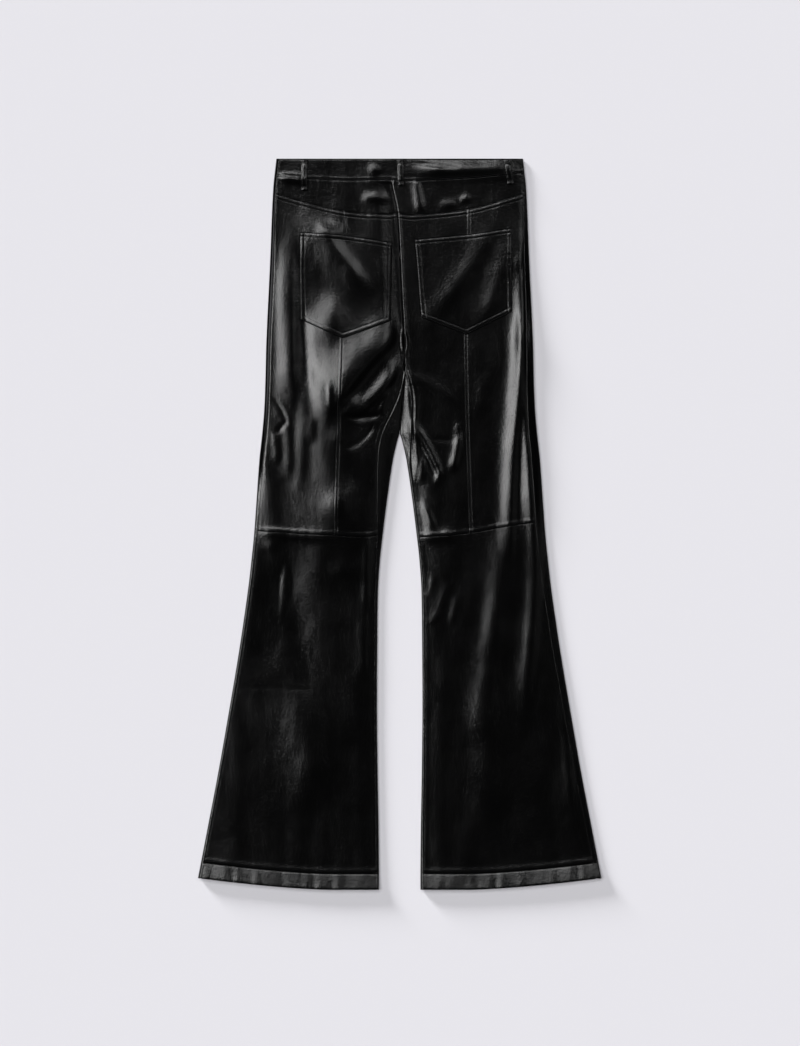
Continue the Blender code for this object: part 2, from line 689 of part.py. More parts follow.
def front_faces(parts, flip):
    """Quads of the front between neighbouring rows, in the stretches that both rows have."""
    faces = []
    for (a, outer_a, turn_a, strip_a), (b, outer_b, turn_b, strip_b) in zip(parts, parts[1:]):
        runs = [(a, b, outer_a - 1)]
        if turn_a and turn_b:
            runs = [(a, b, outer_a + turn_a + strip_a - 1)]
        elif strip_a and strip_b:
            runs.append((a + outer_a + turn_a, b + outer_b + turn_b, strip_a - 1))
        for start_a, start_b, count in runs:
            for k in range(count):
                quad = [start_a + k, start_a + k + 1, start_b + k + 1, start_b + k]
                faces.append(quad if flip else quad[::-1])
    return faces


def add_front_bands(collection):
    """The two front pieces of the waistband, which meet where one end laps over the other."""
    for leg in LEGS:
        downs, marks = line_downs(leg)
        rows = []
        for row in downs[: marks["band seam"] + 1]:
            foot = SEAM_GAP / 2 if row is downs[marks["band seam"]] else 0.0
            end = leg.sign * BAND_END + SEAM_GAP / 2
            side_down, inner_down = row[0] - foot, row[-1] - foot
            rows.append(side_turn(leg, side_down) + under_run(leg, side_down, end, inner_down))
        add_grid("waistband_front_" + leg.name, collection, rows, BAND_WALL, leg.sign < 0)


def add_fly(collection):
    """The fly flap, under the front next to the centre front seam, with a curved foot."""
    top = LEFT_LINES[1].centre + SEAM_GAP
    rows = []
    for i in range(FLY_ROWS + 1):
        down = top + (FLY_FOOT - top) * i / FLY_ROWS
        into = max(0.0, down - (FLY_FOOT - FLY_CURVE)) / FLY_CURVE
        width = FLY_WIDTH * max(FLY_TIP, math.sqrt(max(0.0, 1 - into * into)))
        points = []
        for k in range(FLY_CELLS + 1):
            across = -width * (1 - k / FLY_CELLS) - SEAM_GAP
            points.append(Vector((across, LENGTH / 2 - down, 0.0)))
        rows.append(points)
    add_grid("fly_flap", collection, rows, LEATHER, True)


def add_loop(collection, loop):
    """One belt loop: a strip that is sewn down at both ends and stands a little off the band between."""
    rows = []
    for i in range(LOOP_ROWS + 1):
        share = i / LOOP_ROWS
        down = loop.down0 + (loop.down1 - loop.down0) * share
        middle = loop.across0 + (loop.across1 - loop.across0) * share
        lift = LOOP_CLEAR + LOOP_WALL + LOOP_ARCH * math.sin(math.pi * share) ** LOOP_FULLNESS
        points = []
        for k in range(LOOP_CELLS + 1):
            across = middle + LOOP_WIDTH * (k / LOOP_CELLS - 0.5)
            points.append(top_point(across, down, lift))
        rows.append(points)
    add_grid(loop.name, collection, rows, LOOP_WALL, False)


def add_button(collection):
    """The waist button: a low disc with a bevelled rim, on the outside of the front."""
    mesh = bpy.data.meshes.new("waist_button")
    form = bmesh.new()
    bmesh.ops.create_cone(
        form,
        cap_ends=True,
        segments=BUTTON_SIDES,
        radius1=BUTTON_RADIUS,
        radius2=BUTTON_RADIUS,
        depth=BUTTON_THICK,
    )
    form.to_mesh(mesh)
    form.free()
    button = bpy.data.objects.new("waist_button", mesh)
    button.location = (BUTTON_AT[0], LENGTH / 2 - BUTTON_AT[1], BUTTON_THICK / 2)
    collection.objects.link(button)
    mesh.materials.append(material_for("waist_button", DARK_METAL))
    rim = button.modifiers.new("Rim", "BEVEL")
    rim.width = BUTTON_BEVEL
    rim.segments = 1


def main():
    for thing in list(bpy.data.objects):
        bpy.data.objects.remove(thing, do_unlink=True)
    collection = bpy.data.collections.new(GARMENT)
    bpy.context.scene.collection.children.link(collection)
    add_back_band(collection)
    add_front_bands(collection)
    for leg in LEGS:
        add_back(collection, leg)
        add_front(collection, leg)
    add_fly(collection)
    for loop in LOOPS:
        add_loop(collection, loop)
    add_button(collection)


main()
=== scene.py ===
"""Faux leather flared trousers, laid out flat with the back up: leather, sewing, finishes and studio.

Metres, +Z up, +Y towards the waist. A place is given by two tailor's measures: across, from the line
between the legs, and down, from the waist edge. Each panel is an open surface with its creases and seam
edges, and a Solidify modifier gives it the thickness of the leather.
"""

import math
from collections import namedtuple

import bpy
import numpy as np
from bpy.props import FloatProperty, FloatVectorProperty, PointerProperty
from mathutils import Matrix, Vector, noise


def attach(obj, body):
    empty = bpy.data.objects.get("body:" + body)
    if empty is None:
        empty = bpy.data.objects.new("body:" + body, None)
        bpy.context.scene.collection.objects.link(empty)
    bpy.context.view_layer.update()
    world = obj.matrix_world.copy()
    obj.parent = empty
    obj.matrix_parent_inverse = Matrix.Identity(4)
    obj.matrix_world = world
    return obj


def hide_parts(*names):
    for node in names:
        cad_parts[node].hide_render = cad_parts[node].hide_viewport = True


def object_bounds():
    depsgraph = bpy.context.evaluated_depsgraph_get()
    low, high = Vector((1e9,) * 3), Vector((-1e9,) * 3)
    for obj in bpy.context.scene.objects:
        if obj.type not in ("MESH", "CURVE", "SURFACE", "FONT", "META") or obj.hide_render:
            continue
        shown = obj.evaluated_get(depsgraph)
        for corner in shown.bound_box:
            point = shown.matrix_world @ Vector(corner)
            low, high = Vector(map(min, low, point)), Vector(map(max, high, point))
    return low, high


bl_info = {
    "name": "Faux Leather Flared Trousers",
    "version": (1, 0, 0),
    "blender": (4, 5, 0),
    "location": "3D View > Sidebar > Trousers",
    "description": "Leather panels, sewing, finishes and studio for flared trousers laid out flat",
    "category": "Object",
}

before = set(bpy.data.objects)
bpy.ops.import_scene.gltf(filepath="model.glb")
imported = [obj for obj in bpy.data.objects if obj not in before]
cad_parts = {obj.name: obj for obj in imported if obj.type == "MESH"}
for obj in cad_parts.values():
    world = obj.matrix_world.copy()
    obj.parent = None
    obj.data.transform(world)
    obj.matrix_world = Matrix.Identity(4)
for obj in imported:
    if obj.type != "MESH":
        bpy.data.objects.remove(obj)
CAD_LOW, CAD_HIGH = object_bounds()
BODY = "root"

# Driving dimensions, as on the solids
LENGTH = CAD_HIGH.y - CAD_LOW.y
LEATHER = 0.0013
BAND_WALL = 0.0021
HEM_WALL = 0.0023
SEAM_GAP = 0.0003
LAYER_ROOM = 0.0038
CARRY_EASE = 0.0004
LEAST_ROOM = 0.0009
WAISTBAND = 0.035
CROTCH = 0.298
FORK = 0.400
HEM_DEPTH = 0.0225
HEM_RISE = 0.0175
HEM_LEVEL = 0.100
HEM_BEND = 1.5
SIDE_RISE = 0.040
INNER_RISE = 0.030
FORK_EDGE = 0.0004
FORK_RUN = 0.045
FLY_WIDTH = 0.038
FLY_FOOT = 0.185
FLY_CURVE = 0.055
FLY_TIP = 0.12
FLY_FADE = 0.030
BUTTON_AT = (-0.012, 0.0155)
BUTTON_SINK = 0.0026
BUTTON_FLAT = 0.012
BUTTON_FADE = 0.060
BAND_END = 0.003
LOOP_WIDTH = 0.0095
LOOP_WALL = 0.0016
LOOP_CLEAR = 0.0010
LOOP_ARCH = 0.0007
LOOP_FULLNESS = 0.7
POCKET_LIFT = LEATHER + 0.0004

# Finer form of the leather
CELL = 0.0026  # size of a panel's grid away from its seams
FRONT_CELL = 0.0032
FINE_ROOM = 0.0003  # least air between the layers under the finer creases
HEM_LIFT = 0.0041  # how much the turned up hem stands out
BLUNT = 2.2  # a crease that shows fades out over at least this many times its breadth
BLUNT_OVERRUN = 0.6  # share of that fade that lies past the crease's ends
EDGE_SHARE = 0.30  # share of the finer creases that reaches the folded edges
SHORT_SIDE_RISE = 0.018
SHORT_INNER_RISE = 0.020
POCKET_WALL = 0.0010
POCKET_EDGE = 0.25  # share of the pocket's wall and lift that is left at its sewn edge
POCKET_EDGE_RUN = 0.0014
HEM_STEP = 0.0015  # over this length the wall doubles at the hem's fold
DIP_BREADTH = 0.00085  # of the dip at a row of stitches
EDGE_RUB = 0.6  # how much an edge is rubbed, with a ridge at 1
HAIR = 1e-6  # two places closer than this are one
GRID_PASSES = 4  # to settle points that depend on each other's place
SLOPE_STEP = 0.0005
ROUND_CELLS = 12
MOST_TILT = 1.0  # steepest start of the fold at the side, in radians
TURN_CELLS = 8
TOP_SHARES = (0.0, 0.06, 0.14, 0.24, 0.36, 0.50, 0.66, 0.83, 1.0)
UNDER_COLUMNS = 30
STRIP_SHARES = tuple((k / 14) ** 1.25 for k in range(15))
LEAST_STRIP = 0.0006  # narrowest stretch of the front's point between the inside leg seams
FLY_ROWS = 60
FLY_COLUMNS = 16
FLY_WALL = LEATHER - 0.0002
FLY_EDGE = 0.0004  # how much the flap's sewn edge stands off the floor
FLY_EDGE_BREADTH = 0.0012

# Puckers along a seam: three waves that never fall in step, and a slow swell
Ripple = namedtuple("Ripple", "height rate start")
RIPPLES = (Ripple(1.0, 1.0, 0.0), Ripple(0.6, 1.618, 2.0), Ripple(0.4, 0.43, 0.7))
RIPPLE_REST = 0.6
RIPPLE_BEAT = 5.3
RIPPLE_PEAK = 1.4


def table(kind, *rows):
    """The rows of a table, each with its columns named."""
    return tuple(kind(*row) for row in rows)


Outline = namedtuple("Outline", "down half_width leg_gap")
OUTLINE = table(
    Outline,
    (0.000, 0.1800, 0.0000), (0.045, 0.1847, 0.0000), (0.147, 0.1890, 0.0000), (0.264, 0.1945, 0.0000),
    (0.330, 0.1962, 0.0000), (0.370, 0.1980, 0.0000), (0.400, 0.2006, 0.0000), (0.410, 0.2017, 0.0029),
    (0.439, 0.2048, 0.0095), (0.498, 0.2090, 0.0182), (0.549, 0.2127, 0.0245), (0.585, 0.2164, 0.0285),
    (0.629, 0.2215, 0.0314), (0.717, 0.2343, 0.0325), (0.804, 0.2489, 0.0329), (0.892, 0.2643, 0.0320),
    (0.980, 0.2811, 0.0305), (1.048, 0.2942, 0.0299), (1.066, 0.2976, 0.0299),
)

Loft = namedtuple("Loft", "down edge crown")
LOFT = table(
    Loft,
    (0.000, 0.0060, 0.0006), (0.035, 0.0060, 0.0012), (0.070, 0.0052, 0.0024), (0.170, 0.0052, 0.0042),
    (0.270, 0.0052, 0.0048), (0.400, 0.0052, 0.0032), (0.550, 0.0052, 0.0016), (0.750, 0.0052, 0.0010),
    (0.980, 0.0054, 0.0008), (1.040, 0.0066, 0.0006), (1.066, 0.0066, 0.0006),
)

# Centre back seam, and below the crotch the line where the inner thighs press together
Valley = namedtuple("Valley", "down across")
VALLEY = table(
    Valley,
    (0.000, -0.0140), (0.031, -0.0128), (0.077, -0.0040), (0.147, 0.0004), (0.206, 0.0033),
    (0.244, 0.0055), (0.298, 0.0069), (0.323, 0.0068), (0.347, 0.0044), (0.369, 0.0020),
    (0.400, 0.0000),
)

# Lines round the back: how far down each is at the side seam, the pocket's outer edge, the lengthwise back
# seam, the pocket's inner edge and the centre
COLUMNS = ("side", "outer", "middle", "inner", "centre")
Line = namedtuple("Line", "name side outer middle inner centre")
LEFT_LINES = table(
    Line,
    ("waist edge", 0.000, 0.000, 0.000, 0.000, 0.000),
    ("band seam", 0.026, 0.029, 0.032, 0.031, 0.031),
    ("yoke seam", 0.051, 0.061, 0.077, 0.081, 0.079),
    ("pocket top", 0.106, 0.107, 0.112, 0.122, 0.122),
    ("pocket foot", 0.232, 0.235, 0.263, 0.237, 0.236),
    ("crotch", 0.290, 0.293, 0.305, 0.299, 0.298),
    ("fork", 0.400, 0.400, 0.401, 0.400, 0.400),
    ("knee seam", 0.543, 0.547, 0.550, 0.552, 0.550),
    ("hem stitches", 1.026, 1.036, 1.041, 1.043, 1.0435),
)
RIGHT_LINES = table(
    Line,
    ("waist edge", 0.000, 0.000, 0.000, 0.000, 0.000),
    ("band seam", 0.021, 0.023, 0.029, 0.033, 0.031),
    ("yoke seam", 0.051, 0.056, 0.073, 0.082, 0.079),
    ("pocket top", 0.099, 0.101, 0.110, 0.118, 0.122),
    ("pocket foot", 0.221, 0.224, 0.257, 0.232, 0.236),
    ("crotch", 0.288, 0.290, 0.303, 0.299, 0.298),
    ("fork", 0.400, 0.400, 0.401, 0.400, 0.400),
    ("knee seam", 0.531, 0.536, 0.546, 0.551, 0.552),
    ("hem stitches", 1.026, 1.033, 1.039, 1.044, 1.0435),
)

Guide = namedtuple("Guide", "down turn outer middle inner")
LEFT_GUIDES = table(
    Guide,
    (0.000, 0.0055, 0.1460, 0.0780, 0.0290), (0.031, 0.0055, 0.1460, 0.0780, 0.0270),
    (0.077, 0.0055, 0.1460, 0.0777, 0.0170), (0.117, 0.0055, 0.1463, 0.0777, 0.0113),
    (0.147, 0.0055, 0.1460, 0.0785, 0.0114), (0.206, 0.0055, 0.1453, 0.0812, 0.0121),
    (0.244, 0.0055, 0.1449, 0.0825, 0.0128), (0.298, 0.0055, 0.1455, 0.0842, 0.0150),
    (0.323, 0.0055, 0.1460, 0.0850, 0.0185), (0.347, 0.0055, 0.1466, 0.0857, 0.0245),
    (0.369, 0.0055, 0.1472, 0.0863, 0.0310), (0.400, 0.0055, 0.1480, 0.0873, 0.0430),
    (0.430, 0.0055, 0.1490, 0.0885, 0.0490), (0.514, 0.0055, 0.1510, 0.0914, 0.0540),
    (0.550, 0.0055, 0.1520, 0.0916, 0.0560), (0.640, 0.0055, 0.1620, 0.1050, 0.0640),
    (0.850, 0.0055, 0.1940, 0.1330, 0.0810), (1.066, 0.0055, 0.2290, 0.1620, 0.0970),
)
RIGHT_GUIDES = table(
    Guide,
    (0.000, 0.0055, 0.1640, 0.1026, 0.0100), (0.031, 0.0055, 0.1640, 0.1026, 0.0110),
    (0.077, 0.0060, 0.1640, 0.1026, 0.0170), (0.117, 0.0065, 0.1639, 0.1020, 0.0208),
    (0.147, 0.0070, 0.1639, 0.1005, 0.0240), (0.206, 0.0080, 0.1639, 0.0985, 0.0285),
    (0.244, 0.0090, 0.1639, 0.0975, 0.0315), (0.298, 0.0100, 0.1650, 0.0983, 0.0325),
    (0.318, 0.0105, 0.1653, 0.0988, 0.0350), (0.337, 0.0110, 0.1656, 0.0991, 0.0390),
    (0.360, 0.0115, 0.1658, 0.0997, 0.0420), (0.400, 0.0125, 0.1655, 0.1007, 0.0450),
    (0.440, 0.0130, 0.1650, 0.1020, 0.0480), (0.498, 0.0130, 0.1630, 0.1042, 0.0530),
    (0.550, 0.0130, 0.1610, 0.1062, 0.0570), (0.640, 0.0120, 0.1660, 0.1120, 0.0660),
    (0.850, 0.0100, 0.1960, 0.1370, 0.0820), (1.066, 0.0080, 0.2290, 0.1650, 0.0980),
)

Inseam = namedtuple("Inseam", "down across")
LEFT_INSEAM = table(
    Inseam,
    (0.298, -0.0069), (0.323, -0.0038), (0.347, 0.0021), (0.369, 0.0115), (0.400, 0.0262),
    (0.430, 0.0320), (0.550, 0.0335), (0.640, 0.0365), (0.850, 0.0370), (1.066, 0.0345),
)
RIGHT_INSEAM = table(
    Inseam,
    (0.298, 0.0069), (0.318, 0.0130), (0.337, 0.0180), (0.360, 0.0200), (0.400, 0.0182),
    (0.440, 0.0168), (0.498, 0.0228), (0.550, 0.0290), (0.640, 0.0362), (0.850, 0.0372),
    (1.066, 0.0345),
)

Leg = namedtuple("Leg", "name sign lines guides inseam")
LEFT = Leg("left", -1, LEFT_LINES, LEFT_GUIDES, LEFT_INSEAM)
RIGHT = Leg("right", 1, RIGHT_LINES, RIGHT_GUIDES, RIGHT_INSEAM)
LEGS = (LEFT, RIGHT)

# The largest folds, as on the solids
Fold = namedtuple("Fold", "across0 down0 across1 down1 height breadth bow")
FOLD_OVERRUN = 0.3
FOLD_FADE = 0.5
FOLD_REACH = 3.0
FOLDS = table(
    Fold,
    (-0.166, 0.110, -0.168, 0.370, 0.0034, 0.015, 0.002),
    (-0.151, 0.150, -0.150, 0.360, -0.0022, 0.009, 0.002),
    (-0.108, 0.235, -0.100, 0.335, 0.0032, 0.017, 0.004),
    (-0.078, 0.285, -0.022, 0.262, 0.0026, 0.014, 0.003),
    (-0.008, 0.308, -0.078, 0.374, 0.0040, 0.010, 0.004),
    (-0.020, 0.338, -0.052, 0.372, -0.0024, 0.007, 0.003),
    (-0.018, 0.352, -0.044, 0.377, 0.0024, 0.007, 0.002),
    (-0.080, 0.378, -0.034, 0.377, -0.0028, 0.006, 0.000),
    (-0.084, 0.424, -0.034, 0.390, -0.0026, 0.007, 0.002),
    (-0.182, 0.350, -0.166, 0.390, -0.0020, 0.005, 0.002),
    (-0.150, 0.350, -0.156, 0.480, 0.0020, 0.010, 0.003),
    (-0.120, 0.330, -0.128, 0.490, 0.0022, 0.010, -0.003),
    (-0.100, 0.118, -0.048, 0.170, 0.0020, 0.013, 0.002),
    (-0.104, 0.190, -0.106, 0.226, 0.0016, 0.016, 0.000),
    (-0.106, 0.482, -0.086, 0.514, 0.0018, 0.012, 0.000),
    (-0.186, 0.575, -0.204, 0.730, -0.0020, 0.010, 0.004),
    (-0.166, 0.560, -0.180, 0.700, 0.0018, 0.012, 0.004),
    (-0.060, 0.590, -0.052, 0.730, 0.0020, 0.011, 0.003),
    (-0.120, 0.600, -0.142, 0.800, 0.0014, 0.016, 0.005),
    (-0.214, 0.768, -0.116, 0.772, -0.0012, 0.008, 0.002),
    (-0.190, 0.810, -0.130, 0.920, 0.0018, 0.022, 0.006),
    (-0.085, 0.800, -0.080, 0.990, 0.0014, 0.016, 0.004),
    (-0.240, 0.860, -0.262, 1.010, 0.0016, 0.014, 0.004),
    (0.176, 0.185, 0.168, 0.330, 0.0030, 0.009, 0.003),
    (0.168, 0.320, 0.154, 0.530, 0.0030, 0.009, 0.004),
    (0.181, 0.250, 0.184, 0.520, 0.0028, 0.008, -0.002),
    (0.175, 0.330, 0.169, 0.520, -0.0020, 0.006, 0.002),
    (0.094, 0.132, 0.040, 0.230, 0.0022, 0.013, 0.004),
    (0.152, 0.138, 0.112, 0.224, 0.0018, 0.011, 0.003),
    (0.120, 0.260, 0.118, 0.400, 0.0020, 0.018, 0.004),
    (0.022, 0.388, 0.060, 0.474, 0.0030, 0.008, 0.003),
    (0.036, 0.376, 0.070, 0.455, -0.0022, 0.006, 0.003),
    (0.076, 0.400, 0.086, 0.450, 0.0022, 0.009, 0.002),
    (0.014, 0.318, 0.076, 0.352, 0.0030, 0.010, 0.003),
    (0.040, 0.500, 0.072, 0.546, 0.0018, 0.012, 0.000),
    (0.130, 0.550, 0.146, 0.720, 0.0020, 0.012, 0.004),
    (0.186, 0.560, 0.206, 0.740, 0.0022, 0.012, 0.004),
    (0.160, 0.570, 0.176, 0.720, -0.0016, 0.009, 0.003),
    (0.044, 0.570, 0.068, 0.690, 0.0018, 0.009, 0.004),
    (0.092, 0.720, 0.100, 0.980, 0.0018, 0.018, 0.006),
    (0.168, 0.790, 0.196, 1.000, 0.0018, 0.018, 0.005),
    (0.236, 0.840, 0.258, 1.010, 0.0014, 0.014, 0.004),
)

# Within how far the leather rises out of the centre back seam, on its right, and in from the edges
Rise = namedtuple("Rise", "down seat left_side right_side")
RISES = table(
    Rise,
    (0.000, 0.0200, 0.0010, 0.016), (0.036, 0.0014, 0.0016, 0.016), (0.080, 0.0014, 0.0032, 0.016),
    (0.170, 0.0014, 0.0050, 0.014), (0.310, 0.0014, 0.0050, 0.012), (0.350, 0.0014, 0.0050, 0.012),
    (0.450, 0.0014, 0.0080, 0.020), (0.600, 0.0014, 0.0450, 0.045), (1.066, 0.0014, 0.0450, 0.045),
)

SEAT_LIP = 0.35  # how much more the leather rises just right of the centre seam, as a share
SEAT_RUN = 0.014  # how fast that ends
SEAT_END = 0.310  # from here to the fork the rise on the right grows as gentle as the one on the left

# Creases that show: as the folds, and how much broader the flank on the right, or the lower one, is than the
# other. A line is given from its upper or right end.
Crease = namedtuple("Crease", "across0 down0 across1 down1 height breadth lean bow")
CREASES = table(
    Crease,
    # waistband and yokes
    (-0.016, 0.016, -0.042, 0.016, 0.0014, 0.0070, 1.0, 0.000),
    (-0.142, 0.031, -0.176, 0.027, 0.0024, 0.0060, 1.0, 0.000),
    (0.150, 0.015, 0.034, 0.017, 0.0030, 0.0110, 1.0, 0.000),
    (0.080, 0.013, 0.032, 0.008, -0.0007, 0.0030, 1.0, 0.000),
    (-0.018, 0.056, -0.050, 0.058, 0.0014, 0.0070, 1.0, 0.000),
    (0.0240, 0.036, 0.0310, 0.074, 0.0017, 0.0080, 0.8, 0.000),
    (0.080, 0.066, 0.062, 0.068, 0.0010, 0.0060, 1.0, 0.000),
    (0.100, 0.056, 0.090, 0.062, 0.0012, 0.0050, 1.0, 0.000),
    # left pocket
    (-0.084, 0.108, -0.110, 0.106, 0.0022, 0.0130, 0.7, 0.000),
    (-0.126, 0.094, -0.060, 0.178, 0.0036, 0.0280, 0.5, 0.000),
    (-0.094, 0.212, -0.104, 0.252, 0.0032, 0.0220, 0.8, 0.000),
    # left thigh
    (-0.161, 0.150, -0.160, 0.345, 0.0028, 0.0190, 0.6, 0.002),
    (-0.086, 0.260, -0.092, 0.560, 0.0062, 0.0520, 0.8, 0.000),
    (-0.016, 0.262, -0.096, 0.358, 0.0066, 0.0340, 0.35, -0.003),
    (-0.142, 0.235, -0.134, 0.330, -0.0015, 0.0100, 1.0, 0.000),
    (-0.001, 0.303, -0.064, 0.372, 0.0036, 0.0130, 0.55, 0.004),
    (-0.014, 0.341, -0.027, 0.366, 0.0012, 0.0050, 0.8, 0.000),
    (-0.034, 0.375, -0.074, 0.377, -0.0014, 0.0035, 1.2, 0.001),
    (-0.042, 0.394, -0.069, 0.420, -0.0014, 0.0035, 1.4, 0.002),
    (-0.064, 0.352, -0.080, 0.372, 0.0014, 0.0080, 0.8, 0.000),
    (-0.184, 0.350, -0.166, 0.383, -0.0009, 0.0028, 1.0, 0.002),
    (-0.166, 0.384, -0.179, 0.400, -0.0008, 0.0026, 1.0, 0.000),
    (-0.182, 0.402, -0.179, 0.438, 0.0009, 0.0060, 0.8, 0.001),
    (-0.165, 0.380, -0.163, 0.455, 0.0008, 0.0080, 0.7, 0.002),
    (-0.142, 0.335, -0.146, 0.470, 0.0010, 0.0120, 0.7, 0.002),
    (-0.128, 0.380, -0.129, 0.408, 0.0008, 0.0090, 0.6, 0.000),
    (-0.104, 0.330, -0.102, 0.365, 0.0014, 0.0100, 0.5, 0.000),
    (-0.090, 0.378, -0.091, 0.410, 0.0009, 0.0090, 0.6, 0.000),
    (-0.079, 0.486, -0.091, 0.513, 0.0024, 0.0210, 0.6, 0.000),
    (-0.108, 0.550, -0.206, 0.546, 0.0014, 0.0100, 1.0, 0.000),
    # right pocket
    (0.134, 0.102, 0.048, 0.232, 0.0012, 0.0150, 0.8, 0.004),
    (0.160, 0.120, 0.124, 0.226, 0.0014, 0.0150, 0.8, 0.004),
    (0.184, 0.110, 0.174, 0.155, 0.0012, 0.0080, 0.8, 0.000),
    # right thigh
    (0.187, 0.165, 0.181, 0.270, 0.0036, 0.0160, 0.6, 0.000),
    (0.180, 0.262, 0.162, 0.530, 0.0036, 0.0140, 0.5, -0.003),
    (0.193, 0.265, 0.199, 0.530, 0.0062, 0.0180, 0.5, -0.003),
    (0.122, 0.322, 0.120, 0.362, 0.0010, 0.0120, 1.0, 0.000),
    (0.014, 0.318, 0.076, 0.352, 0.0010, 0.0100, 1.0, 0.003),
    (0.0125, 0.345, 0.015, 0.405, 0.0012, 0.0060, 0.5, 0.000),
    (0.025, 0.394, 0.057, 0.456, 0.0019, 0.0045, 1.4, 0.001),
    (0.058, 0.455, 0.053, 0.472, 0.0009, 0.0030, 1.5, 0.000),
    (0.030, 0.414, 0.050, 0.462, -0.0012, 0.0070, 1.0, 0.000),
    (0.022, 0.396, 0.022, 0.462, 0.0012, 0.0035, 0.8, 0.003),
    (0.034, 0.440, 0.028, 0.470, 0.0016, 0.0090, 0.7, 0.000),
    (0.079, 0.411, 0.052, 0.409, -0.0005, 0.0030, 1.2, 0.000),
    (0.087, 0.405, 0.079, 0.448, 0.0018, 0.0070, 0.7, 0.001),
    (0.086, 0.388, 0.084, 0.396, 0.0008, 0.0040, 1.0, 0.000),
    (0.034, 0.504, 0.048, 0.538, 0.0018, 0.0110, 0.7, 0.000),
    (0.074, 0.549, 0.030, 0.552, 0.0016, 0.0090, 1.0, 0.000),
    # left lower leg
    (-0.186, 0.560, -0.190, 0.568, 0.0010, 0.0080, 1.0, 0.000),
    (-0.180, 0.590, -0.201, 0.737, -0.0020, 0.0220, 1.4, 0.002),
    (-0.160, 0.583, -0.129, 0.768, -0.0018, 0.0190, 1.4, -0.006),
    (-0.054, 0.600, -0.096, 0.598, 0.0010, 0.0140, 1.0, 0.000),
    (-0.046, 0.565, -0.048, 0.650, 0.0015, 0.0080, 0.8, 0.000),
    (-0.050, 0.668, -0.052, 0.745, 0.0012, 0.0100, 0.8, 0.000),
    (-0.140, 0.800, -0.128, 0.915, 0.0034, 0.0360, 0.8, 0.000),
    (-0.124, 0.775, -0.236, 0.769, -0.0002, 0.0030, 1.0, 0.000),
    # right lower leg
    (0.156, 0.560, 0.121, 0.800, 0.0022, 0.0190, 0.9, 0.000),
    (0.199, 0.555, 0.184, 0.780, 0.0021, 0.0130, 0.8, 0.003),
    (0.240, 0.715, 0.250, 0.930, 0.0012, 0.0100, 0.8, 0.000),
    (0.048, 0.612, 0.040, 0.640, 0.0006, 0.0050, 1.0, 0.001),
    (0.070, 0.622, 0.058, 0.655, 0.0006, 0.0060, 1.0, 0.000),
    (0.060, 0.660, 0.044, 0.676, 0.0006, 0.0060, 1.0, 0.000),
    (0.084, 0.640, 0.076, 0.675, 0.0006, 0.0060, 1.0, 0.000),
    (0.130, 0.800, 0.128, 0.950, 0.0018, 0.0280, 0.8, 0.000),
    # twisted seam at the crotch
    (0.0050, 0.250, 0.0080, 0.284, 0.0036, 0.0018, 1.0, -0.0035),
    (0.0050, 0.250, 0.0080, 0.284, 0.0036, 0.0018, 1.0, 0.0040),
    (0.0052, 0.256, 0.0078, 0.278, -0.0030, 0.0022, 1.0, 0.0000),
)

# Shallow creases of the lower layer
DENTS = table(
    Crease,
    (-0.150, 0.300, -0.060, 0.330, 0.0010, 0.012, 1.0, 0.004),
    (-0.160, 0.420, -0.070, 0.455, 0.0009, 0.009, 1.2, 0.003),
    (-0.150, 0.545, -0.060, 0.530, 0.0011, 0.008, 1.0, -0.003),
    (-0.200, 0.640, -0.130, 0.760, 0.0008, 0.014, 1.0, 0.004),
    (-0.110, 0.790, -0.150, 0.930, 0.0008, 0.016, 1.0, 0.004),
    (0.060, 0.325, 0.150, 0.295, 0.0010, 0.012, 1.0, 0.004),
    (0.070, 0.450, 0.165, 0.430, 0.0009, 0.009, 1.2, 0.003),
    (0.060, 0.535, 0.150, 0.550, 0.0011, 0.008, 1.0, 0.003),
    (0.140, 0.650, 0.190, 0.770, 0.0008, 0.014, 1.0, 0.004),
    (0.100, 0.800, 0.160, 0.940, 0.0008, 0.016, 1.0, 0.004),
)

# Soft undulations of the leather: wavelengths across and down, and height
Wave = namedtuple("Wave", "across down height seed")
WAVES = table(
    Wave,
    (0.026, 0.085, 0.00040, 3.1),
    (0.034, 0.040, 0.00035, 11.7),
    (0.010, 0.018, 0.00010, 23.9),
)

# Edges of the panels: how far and over what length the edge rolls down, the ridge of the seam allowance
# under the leather, the rows of stitches with their dip, the puckers along the seam, and the grid's steps
PLAIN_STEPS = (0.0, 0.0004, 0.0009, 0.0015, 0.0022, 0.0031, 0.0043, 0.0060, 0.0082)
ROW_STEPS = PLAIN_STEPS[:6] + (0.0040, 0.0050, 0.0058, 0.0064, 0.0070, 0.0076, 0.0082, 0.0090, 0.0102)
HEM_STEPS = (
    0.0, 0.0004, 0.0008, 0.0013, 0.0020, 0.0035, 0.0060, 0.0090, 0.0120, 0.0150, 0.0180, 0.0200,
    0.0212, 0.0219, 0.0225, 0.0231, 0.0238, 0.0250, 0.0268, 0.0290, 0.0315, 0.0345,
)
SeamEdge = namedtuple(
    "SeamEdge",
    "roll reach ridge ridge_at ridge_breadth rows dip pucker pucker_reach wave steps",
    defaults=(0.0, 0.0, 1.0, (), 0.0, 0.0, 1.0, 1.0, PLAIN_STEPS),
)
